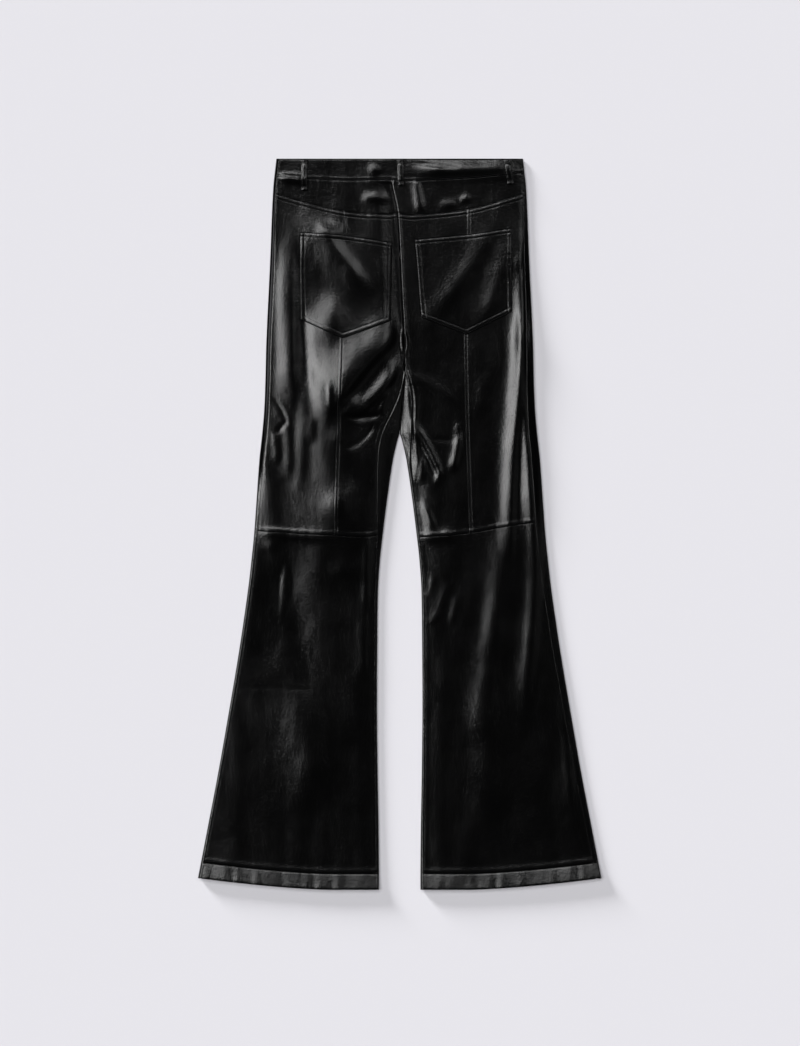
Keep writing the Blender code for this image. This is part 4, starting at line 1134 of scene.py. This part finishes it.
def add_front_band(leg):
    """The front of the waistband on one side, round the side fold to where one end laps over the other."""
    half = SEAM_GAP / 2
    posts = posts_of(leg, "band seam")
    share_d, shift_d = grid_lines(posts.side, PLAIN_STEPS, PLAIN_STEPS, FRONT_CELL)
    side_down = share_d * (posts.side - half) + shift_d
    inner_down = share_d * (posts.centre - half) + shift_d
    over, over_down, over_z = wrap_round_side(leg, side_down)
    over_z = over_z + edge_relief("band foot", posts.side - half - over_down, leg.sign * over)
    shares = smooth(np.linspace(0.0, 1.0, UNDER_COLUMNS))
    start = side_crest(side_down)[:, None]
    under = start + (leg.sign * BAND_END + half - start) * shares
    under_down = side_down[:, None] + (inner_down - side_down)[:, None] * shares
    under_z = under_face(leg, under, under_down)
    across, down = np.hstack([over, under]), np.hstack([over_down, under_down])
    add_wrapped("waistband_front_", leg, across, down, np.hstack([over_z, under_z]), BAND_WALL)


def add_fly():
    """The fly flap, under the front next to the centre front seam, with a curved foot."""
    top = posts_of(LEFT, "band seam").centre + SEAM_GAP
    down = np.linspace(top, FLY_FOOT, FLY_ROWS)[:, None]
    into = np.maximum(0.0, down - (FLY_FOOT - FLY_CURVE)) / FLY_CURVE
    width = FLY_WIDTH * np.maximum(FLY_TIP, np.sqrt(np.maximum(0.0, 1 - into * into)))
    across = -width * (1 - smooth(np.linspace(0.0, 1.0, FLY_COLUMNS))) - SEAM_GAP
    down = np.broadcast_to(down, across.shape)
    near = np.minimum(across + width + SEAM_GAP, FLY_FOOT - down)
    points = placed(across, down, FLY_EDGE * bell(near, FLY_EDGE_BREADTH))
    add_leather("fly_flap", points, FLY_WALL, np.zeros(across.shape), turned=True)


def loop_point(loop, share, place, raise_by=0.0):
    """A point of a belt loop: share runs down it, and place across it from -0.5 to 0.5."""
    length = loop.down1 - loop.down0
    across = loop.across0 + (loop.across1 - loop.across0) * share + LOOP_WIDTH * place
    down = loop.down0 + length * share
    arch = LOOP_ARCH * np.sin(math.pi * np.clip(share, 0.0, 1.0)) ** LOOP_FULLNESS
    from_edge = LOOP_WIDTH * (0.5 - abs(place))
    from_end = length * np.minimum(share, 1 - share)
    from_row = LOOP_WIDTH * (abs(place) - LOOP_STITCHES)
    relief = -LOOP_ROLL * (bell(from_edge, LOOP_EDGE_BREADTH) + bell(from_end, LOOP_END_BREADTH))
    relief = relief - LOOP_ROW_DIP * bell(from_row, LOOP_ROW_BREADTH)
    relief = relief - LOOP_TACK_DIP * bell(from_end - LOOP_TACK_DIP_AT, LOOP_TACK_BREADTH)
    height = leather_height(across, down) + LOOP_CLEAR + LOOP_WALL + arch + relief + raise_by
    return placed(across, down, height)


def add_loop(loop):
    """One belt loop: a strip that is sewn down at both ends and stands a little off the band between."""
    even, place = np.meshgrid(np.linspace(0.0, 1.0, LOOP_ROWS), np.array(LOOP_LINES), indexing="ij")
    share = 0.5 - 0.5 * np.cos(math.pi * even) * LOOP_CROWDING + (even - 0.5) * (1 - LOOP_CROWDING)
    rub = bell(LOOP_WIDTH * (0.5 - abs(place)) - LOOP_RUB_AT, LOOP_RUB_BREADTH)
    add_leather(loop.name, loop_point(loop, share, place), LOOP_WALL, rub)


def add_button():
    """The waist button, turned from its profile, with its face on the floor."""
    radii, heights = np.array(BUTTON_PROFILE).T
    turn = np.linspace(0.0, 2 * math.pi, BUTTON_TURNS, endpoint=False)
    rings = [[0.0, 0.0, heights[0]]]
    for radius, height in zip(radii[1:-1], heights[1:-1]):
        rings += [[radius * math.cos(t), radius * math.sin(t), height] for t in turn]
    rings.append([0.0, 0.0, heights[-1]])
    faces = []
    last = len(rings) - 1
    first_of_last = last - BUTTON_TURNS
    for k in range(BUTTON_TURNS):
        n = (k + 1) % BUTTON_TURNS
        faces.append([0, 1 + n, 1 + k])
        for a in range(1, first_of_last, BUTTON_TURNS):
            faces.append([a + k, a + n, a + BUTTON_TURNS + n, a + BUTTON_TURNS + k])
        faces.append([first_of_last + k, first_of_last + n, last])
    centre = (BUTTON_AT[0], LENGTH / 2 - BUTTON_AT[1], 0.0)
    mesh = bpy.data.meshes.new("waist_button")
    mesh.from_pydata((np.array(rings) + centre).tolist(), [], faces)
    mesh.shade_smooth()
    mesh.materials.append(shared_material("dark_button_metal", metal_look))
    button = add_object("waist_button_metal", mesh)
    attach(button, BODY)
    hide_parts("waist_button")


def thread_height(radii):
    """So many radii of the thread."""
    return bpy.context.scene.trousers_sewing.thread_radius * radii


def stitch_row(panel, side, distance, trim):
    """Points of one row of stitches, at this distance from an edge of a panel."""
    edge = getattr(panel, side)
    sign = 1 if side in ("low", "top") else -1
    if side in ("low", "high"):
        first, last, count, near = panel.top, panel.foot, LONG_ROW_POINTS, MID_DOWN
    else:
        first, last, count = panel.low, panel.high, CROSS_ROW_POINTS
        near = (panel.low(MID_DOWN) + panel.high(MID_DOWN)) / 2
    share = np.linspace(0.0, 1.0, count)
    along = first(edge(near)) * (1 - share) + last(edge(near)) * share
    for _ in range(GRID_PASSES):
        aside = edge(along) + sign * distance * np.hypot(1, slope_of(edge, along))
        along = (first(aside) + trim) * (1 - share) + (last(aside) - trim) * share
    across, down = (aside, along) if side in ("low", "high") else (along, aside)
    height, _ = panel_height(panel, across, down)
    return placed(across, down, height + thread_height(STITCH_STAND))


def stitch_rows(panel, trim=None):
    """All rows of stitches of a panel, cut short by trim, or by as much as each is in from its edge."""
    return [
        stitch_row(panel, side, distance, distance if trim is None else trim)
        for side in SIDES
        for distance in SEAM_EDGES[panel.kinds[side]].rows
    ]


def corner_tack(panel, side):
    """Dense stitches at one of a pocket's top corners, from its outer row of stitches to the inner one."""
    near, far = SEAM_EDGES[panel.kinds[side]].rows
    edge, sign = (panel.low, 1) if side == "low" else (panel.high, -1)
    rows = []
    for k in range(POCKET_TACK_ROWS):
        top = panel.top(edge(POCKET_NEAR)) + near + BARTACK * k / (POCKET_TACK_ROWS - 1)
        across = edge(top) + sign * np.linspace(near, far, TACK_POINTS)
        down = np.full(TACK_POINTS, float(top))
        height, _ = panel_height(panel, across, down)
        rows.append(placed(across, down, height + thread_height(1.0)))
    return rows


def loop_rows(loop):
    """The two rows of stitches down a belt loop."""
    share = np.linspace(LOOP_ROW_TRIM, 1 - LOOP_ROW_TRIM, LOOP_ROW_POINTS)
    lift = thread_height(STITCH_STAND)
    places = (-LOOP_STITCHES, LOOP_STITCHES)
    return [loop_point(loop, share, np.full(LOOP_ROW_POINTS, place), lift) for place in places]


def loop_tacks(loop):
    """Dense stitches at both ends of a belt loop."""
    length = loop.down1 - loop.down0
    place = np.linspace(-LOOP_TACK_REACH, LOOP_TACK_REACH, TACK_POINTS)
    rows = []
    for end in (LOOP_TACK_AT / length, 1 - LOOP_TACK_AT / length):
        for k in range(LOOP_TACK_ROWS):
            at = end + (k / (LOOP_TACK_ROWS - 1) - 0.5) * BARTACK / length
            rows.append(loop_point(loop, np.full(TACK_POINTS, at), place, thread_height(2 * STITCH_STAND)))
    return rows


def feed(tree, node, inputs):
    """Gives each of these inputs of a node a socket to follow or a value."""
    for name, value in inputs.items():
        if isinstance(value, bpy.types.NodeSocket):
            tree.links.new(value, node.inputs[name])
        else:
            node.inputs[name].default_value = value


def add_node(tree, kind, inputs=None, **settings):
    """A new node with these settings and inputs; gives its outputs."""
    node = tree.nodes.new(kind)
    for name, value in settings.items():
        setattr(node, name, value)
    feed(tree, node, inputs or {})
    return node.outputs


def add_socket(tree, way, kind, name, default=None):
    """An input or output of a node group."""
    socket = tree.interface.new_socket(name, in_out=way, socket_type="NodeSocket" + kind)
    if default is not None:
        socket.default_value = default


def stitch_tree():
    """Geometry nodes that lay stitches along the curves they are given."""
    tree = bpy.data.node_groups.new("Stitch Rows", "GeometryNodeTree")
    add_socket(tree, "INPUT", "Geometry", "Geometry")
    for name in ("Pitch", "Stitch Length", "Thread Radius", "Slant", "Unevenness"):
        add_socket(tree, "INPUT", "Float", name)
    add_socket(tree, "INPUT", "Material", "Material")
    add_socket(tree, "OUTPUT", "Geometry", "Geometry")
    given = add_node(tree, "NodeGroupInput")
    radius = given["Thread Radius"]

    bead = add_node(tree, "GeometryNodeMeshUVSphere", {"Segments": 6, "Rings": 5, "Radius": 1.0})
    half = math_node(tree, "MULTIPLY", given["Stitch Length"], 0.5)
    size = add_node(tree, "ShaderNodeCombineXYZ", {"X": half, "Y": radius, "Z": radius})
    stitch = add_node(tree, "GeometryNodeTransform", {"Geometry": bead["Mesh"], "Scale": size[0]})

    tangent = add_node(tree, "GeometryNodeInputTangent")["Tangent"]
    along = add_node(tree, "FunctionNodeAlignRotationToVector", {"Vector": tangent}, axis="X", pivot_axis="Z")
    wobble = add_node(
        tree, "FunctionNodeRandomValue", {"Seed": STITCH_SEED, 3: given["Unevenness"]}, data_type="FLOAT"
    )
    yaw = math_node(tree, "ADD", given["Slant"], wobble[1])
    turn = add_node(tree, "ShaderNodeCombineXYZ", {"Z": yaw})
    turned = add_node(tree, "FunctionNodeRotateRotation", {0: along[0], 1: turn[0]}, rotation_space="LOCAL")

    spots = {"Curve": given["Geometry"], "Length": given["Pitch"]}
    spots = add_node(tree, "GeometryNodeResampleCurve", spots, mode="LENGTH")["Curve"]
    laid = {"Points": spots, "Instance": stitch["Geometry"], "Rotation": turned[0]}
    laid = add_node(tree, "GeometryNodeInstanceOnPoints", laid)["Instances"]
    real = add_node(tree, "GeometryNodeRealizeInstances", {"Geometry": laid})["Geometry"]
    smoothed = add_node(tree, "GeometryNodeSetShadeSmooth", {0: real})[0]
    sewn = add_node(tree, "GeometryNodeSetMaterial", {"Geometry": smoothed, "Material": given["Material"]})
    add_node(tree, "NodeGroupOutput", {"Geometry": sewn["Geometry"]})
    return tree


def add_stitches(name, rows, pitch=None, slant=STITCH_SLANT):
    """A piece of sewing: stitches along rows of points, made a plain mesh."""
    sewing = bpy.context.scene.trousers_sewing
    curve = bpy.data.curves.new(name + "_rows", "CURVE")
    curve.dimensions = "3D"
    for row in rows:
        spline = curve.splines.new("POLY")
        spline.points.add(len(row) - 1)
        spline.points.foreach_set("co", np.hstack([row, np.ones((len(row), 1))]).ravel().astype(np.float32))
    guide = add_object(name + "_rows", curve)
    maker = guide.modifiers.new("Stitches", "NODES")
    maker.node_group = bpy.data.node_groups.get("Stitch Rows") or stitch_tree()
    pitch = pitch or sewing.stitch_pitch
    values = {
        "Pitch": pitch,
        "Stitch Length": pitch * sewing.stitch_fill,
        "Thread Radius": sewing.thread_radius,
        "Slant": slant,
        "Unevenness": STITCH_UNEVENNESS,
        "Material": shared_material("black_thread", thread_look),
    }
    for socket in maker.node_group.interface.items_tree:
        if socket.in_out == "INPUT" and socket.name in values:
            maker[socket.identifier] = values[socket.name]
    bpy.context.view_layer.update()
    evaluated = guide.evaluated_get(bpy.context.evaluated_depsgraph_get())
    mesh = bpy.data.meshes.new_from_object(evaluated)
    mesh.name = name
    piece = add_object(name, mesh)
    bpy.data.objects.remove(guide, do_unlink=True)
    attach(piece, BODY)


def new_group(name, inputs):
    """A shader group that takes a position and these numbers; gives the group and what comes in."""
    group = bpy.data.node_groups.new(name, "ShaderNodeTree")
    add_socket(group, "INPUT", "Vector", "Position")
    for label, default in inputs.items():
        add_socket(group, "INPUT", "Float", label, default)
    return group, add_node(group, "NodeGroupInput")


def send_out(group, numbers):
    """Ends a shader group, which gives these numbers."""
    for label in numbers:
        add_socket(group, "OUTPUT", "Float", label)
    add_node(group, "NodeGroupOutput", numbers)
    return group


def math_node(tree, operation, first, second):
    """A math node on two values, each a socket or a number."""
    return add_node(tree, "ShaderNodeMath", {0: first, 1: second}, operation=operation)[0]


def noise_node(tree, position, scale, detail, roughness=0.5):
    """A noise texture on a position; scale is a socket or a number of cells a metre."""
    inputs = {"Vector": position, "Scale": scale, "Detail": detail, "Roughness": roughness}
    return add_node(tree, "ShaderNodeTexNoise", inputs)["Fac"]


def make_grain(name):
    """Pebbled grain of coated cloth: height and mottling."""
    group, given = new_group(name, {"Pebbles": 900.0, "Pores": PORES})
    place, pebbles = given["Position"], given["Pebbles"]
    cells = {"Vector": place, "Scale": pebbles, "Smoothness": 0.6}
    cells = add_node(group, "ShaderNodeTexVoronoi", cells, feature="SMOOTH_F1")["Distance"]
    mottle = noise_node(group, place, pebbles, 2.0)
    parts = (
        (math_node(group, "SUBTRACT", 1.0, cells), 0.5),
        (mottle, 0.6),
        (noise_node(group, place, given["Pores"], 3.0, 0.6), 0.25),
    )
    first, second, third = (math_node(group, "MULTIPLY", part, share) for part, share in parts)
    height = math_node(group, "ADD", math_node(group, "ADD", first, second), third)
    return send_out(group, {"Height": height, "Mottle": mottle})


def make_wear(name):
    """Wear: rubbed ridges broken up by noise, and soft smudges from handling."""
    group, given = new_group(name, {"Rub": 0.0, "Smudge Size": SMUDGES})
    place = given["Position"]
    worn = math_node(group, "MULTIPLY", given["Rub"], noise_node(group, place, RUB_SPOTS, 3.0))
    smudge = noise_node(group, place, given["Smudge Size"], 4.0, 0.55)
    return send_out(group, {"Worn": worn, "Smudge": smudge})


def make_twist(name):
    """Twisted strands: fine slanting ribs."""
    group, given = new_group(name, {"Ribs": THREAD_RIBS})
    ribs = {"Vector": given["Position"], "Scale": given["Ribs"], "Distortion": 1.0}
    ribs = add_node(group, "ShaderNodeTexWave", ribs, bands_direction="DIAGONAL")["Fac"]
    return send_out(group, {"Height": ribs})


def group_node(tree, name, make, inputs):
    """A shader group in a material, built the first time that it is asked for."""
    return add_node(tree, "ShaderNodeGroup", inputs, node_tree=bpy.data.node_groups.get(name) or make(name))


def spread(tree, value, low, high):
    """Brings what a noise usually gives to this range."""
    inputs = {"Value": value, "From Min": NOISE_LOW, "From Max": NOISE_HIGH, "To Min": low, "To Max": high}
    return add_node(tree, "ShaderNodeMapRange", inputs)["Result"]


def blend_colors(tree, share, first, second):
    """From the first colour to the second one as share goes from 0 to 1."""
    inputs = {"Factor": share, "A": (*first, 1.0), "B": (*second, 1.0)}
    return add_node(tree, "ShaderNodeMix", inputs, data_type="RGBA")["Result"]


def bump_node(tree, height, strength, distance, **normal):
    """A relief of this height, over another normal where one is given."""
    inputs = {"Strength": strength, "Distance": distance, "Height": height, **normal}
    return add_node(tree, "ShaderNodeBump", inputs)["Normal"]


def shared_material(name, look):
    """A material, built the first time that it is asked for; its look gives the inputs of its shader."""
    material = bpy.data.materials.get(name)
    if material is None:
        material = bpy.data.materials.new(name)
        material.use_nodes = True
        tree = material.node_tree
        place = add_node(tree, "ShaderNodeTexCoord")["Object"]
        feed(tree, tree.nodes["Principled BSDF"], look(tree, place))
    return material


def leather_look(tree, place):
    """Smooth black coated cloth: a soft gloss, a fine grain, smudges and lightly rubbed ridges."""
    look = bpy.context.scene.trousers_leather
    rub = add_node(tree, "ShaderNodeAttribute", attribute_name="rub")["Fac"]
    grain = {"Position": place, "Pebbles": 1.0 / look.grain_size, "Pores": PORES}
    grain = group_node(tree, "Leather Grain", make_grain, grain)
    wear = group_node(tree, "Wear", make_wear, {"Position": place, "Rub": rub, "Smudge Size": SMUDGES})
    duller, glossier = look.roughness + SMUDGE_DULLS, look.roughness - SMUDGE_POLISHES
    rough = spread(tree, wear["Smudge"], glossier, duller)
    rough = math_node(tree, "ADD", rough, spread(tree, grain["Mottle"], -MOTTLE_GLOSS, MOTTLE_GLOSS))
    polish = math_node(tree, "MULTIPLY", wear["Worn"], RUB_POLISHES)
    wrinkles = noise_node(tree, place, WRINKLES, 3.0, 0.55)
    wrinkles = bump_node(tree, wrinkles, look.wrinkle_depth, WRINKLE_RELIEF)
    return {
        "Base Color": blend_colors(tree, wear["Worn"], look.color, look.rubbed_color),
        "Roughness": math_node(tree, "SUBTRACT", rough, polish),
        "Normal": bump_node(tree, grain["Height"], look.grain_depth, GRAIN_RELIEF, Normal=wrinkles),
    }


def worn_look(tree, place, color, lighter, rub, smudges, smooth_to_rough):
    """Colour and gloss of a small part, which is so many times lighter where it is rubbed."""
    wear = group_node(tree, "Wear", make_wear, {"Position": place, "Rub": rub, "Smudge Size": smudges})
    rubbed = [min(1.0, channel * lighter) for channel in color]
    return {
        "Base Color": blend_colors(tree, wear["Worn"], color, rubbed),
        "Roughness": spread(tree, wear["Smudge"], *smooth_to_rough),
    }


def thread_look(tree, place):
    """Black polyester thread, twisted, with a slight shine."""
    color = bpy.context.scene.trousers_sewing.thread_color
    twist = group_node(tree, "Thread Twist", make_twist, {"Position": place, "Ribs": THREAD_RIBS})["Height"]
    inputs = worn_look(tree, place, color, THREAD_LIGHTER, 0.5, THREAD_SMUDGES, THREAD_GLOSS)
    return {**inputs, "Normal": bump_node(tree, twist, 0.5, FINE_RELIEF)}


def metal_look(tree, place):
    """Dark satin metal of the button, with fine turning marks and rubbed spots."""
    color = bpy.context.scene.trousers_sewing.button_color
    marks = noise_node(tree, place, TURNING_MARKS, 2.0)
    inputs = worn_look(tree, place, color, METAL_LIGHTER, 0.6, METAL_SMUDGES, METAL_GLOSS)
    return {**inputs, "Metallic": 1.0, "Normal": bump_node(tree, marks, 0.15, FINE_RELIEF)}


def floor_look(tree, place):
    """Plain, pale and matt."""
    color = bpy.context.scene.trousers_studio.floor_color
    return {"Base Color": (*color, 1.0), "Roughness": 0.95, "Specular IOR Level": 0.0}


def add_floor():
    """The plain pale floor."""
    half = FLOOR_SIZE / 2
    mesh = bpy.data.meshes.new("floor")
    corners = [(x * half, y * half, -FLOOR_DROP) for x, y in ((-1, -1), (1, -1), (1, 1), (-1, 1))]
    mesh.from_pydata(corners, [], [(0, 1, 2, 3)])
    mesh.materials.append(shared_material("pale_floor", floor_look))
    floor = add_object("floor", mesh)
    return floor


def add_suns(studio, floor):
    """Soft suns: keys from the left to the right, a weak fill, and two that light the floor alone."""
    only_floor = bpy.data.collections.new("lit_floor")
    only_floor.objects.link(floor)
    for sun in SUNS:
        light = bpy.data.lights.new(sun.name, "SUN")
        light.energy = getattr(studio, sun.name.replace(" ", "_") + "_strength")
        light.angle = math.radians(sun.width)
        lamp = add_object(sun.name + "_sun", light)
        bearing, tilt = math.radians(sun.bearing), math.radians(sun.tilt)
        level = math.sin(tilt)
        towards = Vector((math.cos(bearing) * level, math.sin(bearing) * level, math.cos(tilt)))
        lamp.rotation_mode = "QUATERNION"
        lamp.rotation_quaternion = towards.to_track_quat("Z", "Y")
        lamp.location = towards * SUN_DISTANCE
        if sun.only_floor:
            lamp.light_linking.receiver_collection = only_floor


def add_world(studio):
    """A dim room that the leather mirrors, and a pale one behind the floor's edge."""
    world = bpy.data.worlds.new("studio")
    world.use_nodes = True
    tree = world.node_tree
    seen = add_node(tree, "ShaderNodeLightPath")["Is Camera Ray"]
    color = blend_colors(tree, seen, studio.room_color, studio.backdrop_color)
    feed(tree, tree.nodes["Background"], {"Color": color})
    bpy.context.scene.world = world


def add_camera():
    """The camera, straight above the middle of the frame."""
    data = bpy.data.cameras.new("camera")
    data.sensor_width = SENSOR
    data.lens = SENSOR * CAMERA_HEIGHT / FRAME_HEIGHT
    data.clip_end = FARTHEST_SEEN
    camera = add_object("camera", data)
    camera.location = (*FRAME_CENTRE, CAMERA_HEIGHT)
    bpy.context.scene.camera = camera


def color_setting(name, description, default):
    """A colour that a user may change."""
    return FloatVectorProperty(name=name, description=description, subtype="COLOR", default=default)


def share_setting(name, description, default, most=1.0):
    """A share or strength that a user may change."""
    return FloatProperty(
        name=name, description=description, subtype="FACTOR", default=default, min=0.0, max=most
    )


def length_setting(name, description, default, least=0.0001):
    """A length that a user may change."""
    return FloatProperty(name=name, description=description, unit="LENGTH", default=default, min=least)


def light_setting(name, description, default):
    """The strength of a light, that a user may change."""
    return FloatProperty(name=name, description=description, default=default, min=0.0)


class LeatherSettings(bpy.types.PropertyGroup):
    """Sizes and colours of the leather"""

    color: color_setting("Black", "Base colour of the leather", (0.0012, 0.0012, 0.0013))
    rubbed_color: color_setting("Rubbed", "Colour of rubbed ridges", (0.005, 0.005, 0.0053))
    roughness: share_setting("Roughness", "Mean roughness of the gloss", 0.170)
    grain_size: length_setting("Grain", "Width of a pebble of the grain", 0.0011, least=0.0002)
    grain_depth: share_setting("Grain depth", "Strength of the grain", 0.39)
    wrinkle_depth: share_setting("Wrinkle depth", "Strength of the fine wrinkles", 0.22)
    crease_strength: share_setting("Creases", "Strength of the finer creases", 1.0, most=2.0)


class SewingSettings(bpy.types.PropertyGroup):
    """Sizes and colours of the sewing and the button"""

    stitch_pitch: length_setting("Stitch pitch", "From one stitch to the next", 0.0034, least=0.001)
    stitch_fill: share_setting("Stitch fill", "Length of a stitch as a share of the pitch", 0.82)
    thread_radius: length_setting("Thread radius", "Half the thickness of the thread", 0.00030)
    thread_color: color_setting("Thread", "Colour of the thread", (0.007, 0.007, 0.0073))
    button_color: color_setting("Button", "Colour of the button's metal", (0.09, 0.09, 0.095))


class StudioSettings(bpy.types.PropertyGroup):
    """Floor and lights"""

    floor_color: color_setting("Floor", "Colour of the floor", (0.604, 0.597, 0.630))
    room_color: color_setting("Room", "What the leather mirrors away from the lights", (0.010, 0.010, 0.0105))
    backdrop_color: color_setting("Backdrop", "Colour behind the floor's edge", (0.80, 0.795, 0.83))
    left_key_strength: light_setting("Left key", "Strength of the light from the left", 0.76)
    corner_key_strength: light_setting("Corner key", "Strength of the light between left and top", 0.44)
    top_key_strength: light_setting("Top key", "Strength of the light from the top", 0.54)
    right_key_strength: light_setting("Right key", "Strength of the light from the upper right", 0.16)
    fill_strength: light_setting("Fill", "Strength of the low light from the right", 0.02)
    skim_strength: light_setting("Skim", "Strength of the low light on the floor", 6.1)
    floor_strength: light_setting("Overhead", "Strength of the upper light on the floor", 1.19)


class TROUSERS_OT_waistband(bpy.types.Operator):
    """Make the waistband: one piece at the back and two at the front"""

    bl_idname = "trousers.waistband"
    bl_label = "Waistband"

    def execute(self, context):
        add_panel(band_panel())
        for leg in LEGS:
            add_front_band(leg)
        return {"FINISHED"}


class TROUSERS_OT_back(bpy.types.Operator):
    """Make the back: yokes, upper panels and lower legs"""

    bl_idname = "trousers.back"
    bl_label = "Back panels"

    def execute(self, context):
        for leg in LEGS:
            for panel in back_panels(leg):
                add_panel(panel)
        return {"FINISHED"}


class TROUSERS_OT_front(bpy.types.Operator):
    """Make the fronts, which turn up round the sides and the inside of the legs"""

    bl_idname = "trousers.front"
    bl_label = "Fronts"

    def execute(self, context):
        for leg in LEGS:
            add_front(leg)
        return {"FINISHED"}


class TROUSERS_OT_pockets(bpy.types.Operator):
    """Make the patch pockets on the back"""

    bl_idname = "trousers.pockets"
    bl_label = "Patch pockets"

    def execute(self, context):
        for leg in LEGS:
            add_panel(pocket_panel(leg))
        return {"FINISHED"}


class TROUSERS_OT_fastening(bpy.types.Operator):
    """Make the fly flap, the waist button and the belt loops"""

    bl_idname = "trousers.fastening"
    bl_label = "Fly, button and loops"

    def execute(self, context):
        add_fly()
        add_button()
        for loop in LOOPS:
            add_loop(loop)
        return {"FINISHED"}


class TROUSERS_OT_sewing(bpy.types.Operator):
    """Sew the seams: topstitching, hems, pockets, belt loops and bartacks"""

    bl_idname = "trousers.sewing"
    bl_label = "Sewing"

    def execute(self, context):
        for leg in LEGS:
            rows = [row for panel in back_panels(leg) for row in stitch_rows(panel, SEAM_ROW_TRIM)]
            add_stitches("seam_stitches_" + leg.name, rows)
            pocket = pocket_panel(leg)
            add_stitches("pocket_stitches_" + leg.name, stitch_rows(pocket))
            tacks = corner_tack(pocket, "low") + corner_tack(pocket, "high")
            add_stitches("pocket_bartacks_" + leg.name, tacks, POCKET_TACK_PITCH, TACK_SLANT)
        add_stitches("band_stitches", stitch_rows(band_panel(), BAND_ROW_TRIM))
        add_stitches("loop_stitches", [row for loop in LOOPS for row in loop_rows(loop)], LOOP_PITCH)
        tacks = [row for loop in LOOPS for row in loop_tacks(loop)]
        add_stitches("loop_bartacks", tacks, LOOP_TACK_PITCH, TACK_SLANT)
        return {"FINISHED"}


class TROUSERS_OT_stage(bpy.types.Operator):
    """Set up the floor, the lights, the room and the camera"""

    bl_idname = "trousers.stage"
    bl_label = "Stage"

    def execute(self, context):
        studio = context.scene.trousers_studio
        add_suns(studio, add_floor())
        add_world(studio)
        add_camera()
        context.scene.view_settings.view_transform = "Standard"
        return {"FINISHED"}


STEPS = ("stage", "waistband", "back", "front", "pockets", "fastening", "sewing")


class TROUSERS_PT_panel(bpy.types.Panel):
    """Buttons for the pieces of the trousers"""

    bl_idname = "TROUSERS_PT_panel"
    bl_label = "Flared Trousers"
    bl_space_type = "VIEW_3D"
    bl_region_type = "UI"
    bl_category = "Trousers"

    def draw(self, context):
        for step in STEPS:
            self.layout.operator("trousers." + step)
        for settings in SETTINGS:
            group = getattr(context.scene, settings)
            for name in group.__annotations__:
                self.layout.prop(group, name)


SETTINGS = {
    "trousers_leather": LeatherSettings,
    "trousers_sewing": SewingSettings,
    "trousers_studio": StudioSettings,
}
CLASSES = (
    LeatherSettings,
    SewingSettings,
    StudioSettings,
    TROUSERS_OT_stage,
    TROUSERS_OT_waistband,
    TROUSERS_OT_back,
    TROUSERS_OT_front,
    TROUSERS_OT_pockets,
    TROUSERS_OT_fastening,
    TROUSERS_OT_sewing,
    TROUSERS_PT_panel,
)


def register():
    for cls in CLASSES:
        bpy.utils.register_class(cls)
    for name, group in SETTINGS.items():
        setattr(bpy.types.Scene, name, PointerProperty(type=group))


def unregister():
    for name in SETTINGS:
        delattr(bpy.types.Scene, name)
    for cls in reversed(CLASSES):
        bpy.utils.unregister_class(cls)


def main():
    """Makes the trousers and the studio."""
    register()
    for step in STEPS:
        getattr(bpy.ops.trousers, step)()


if __name__ == "__main__":
    main()
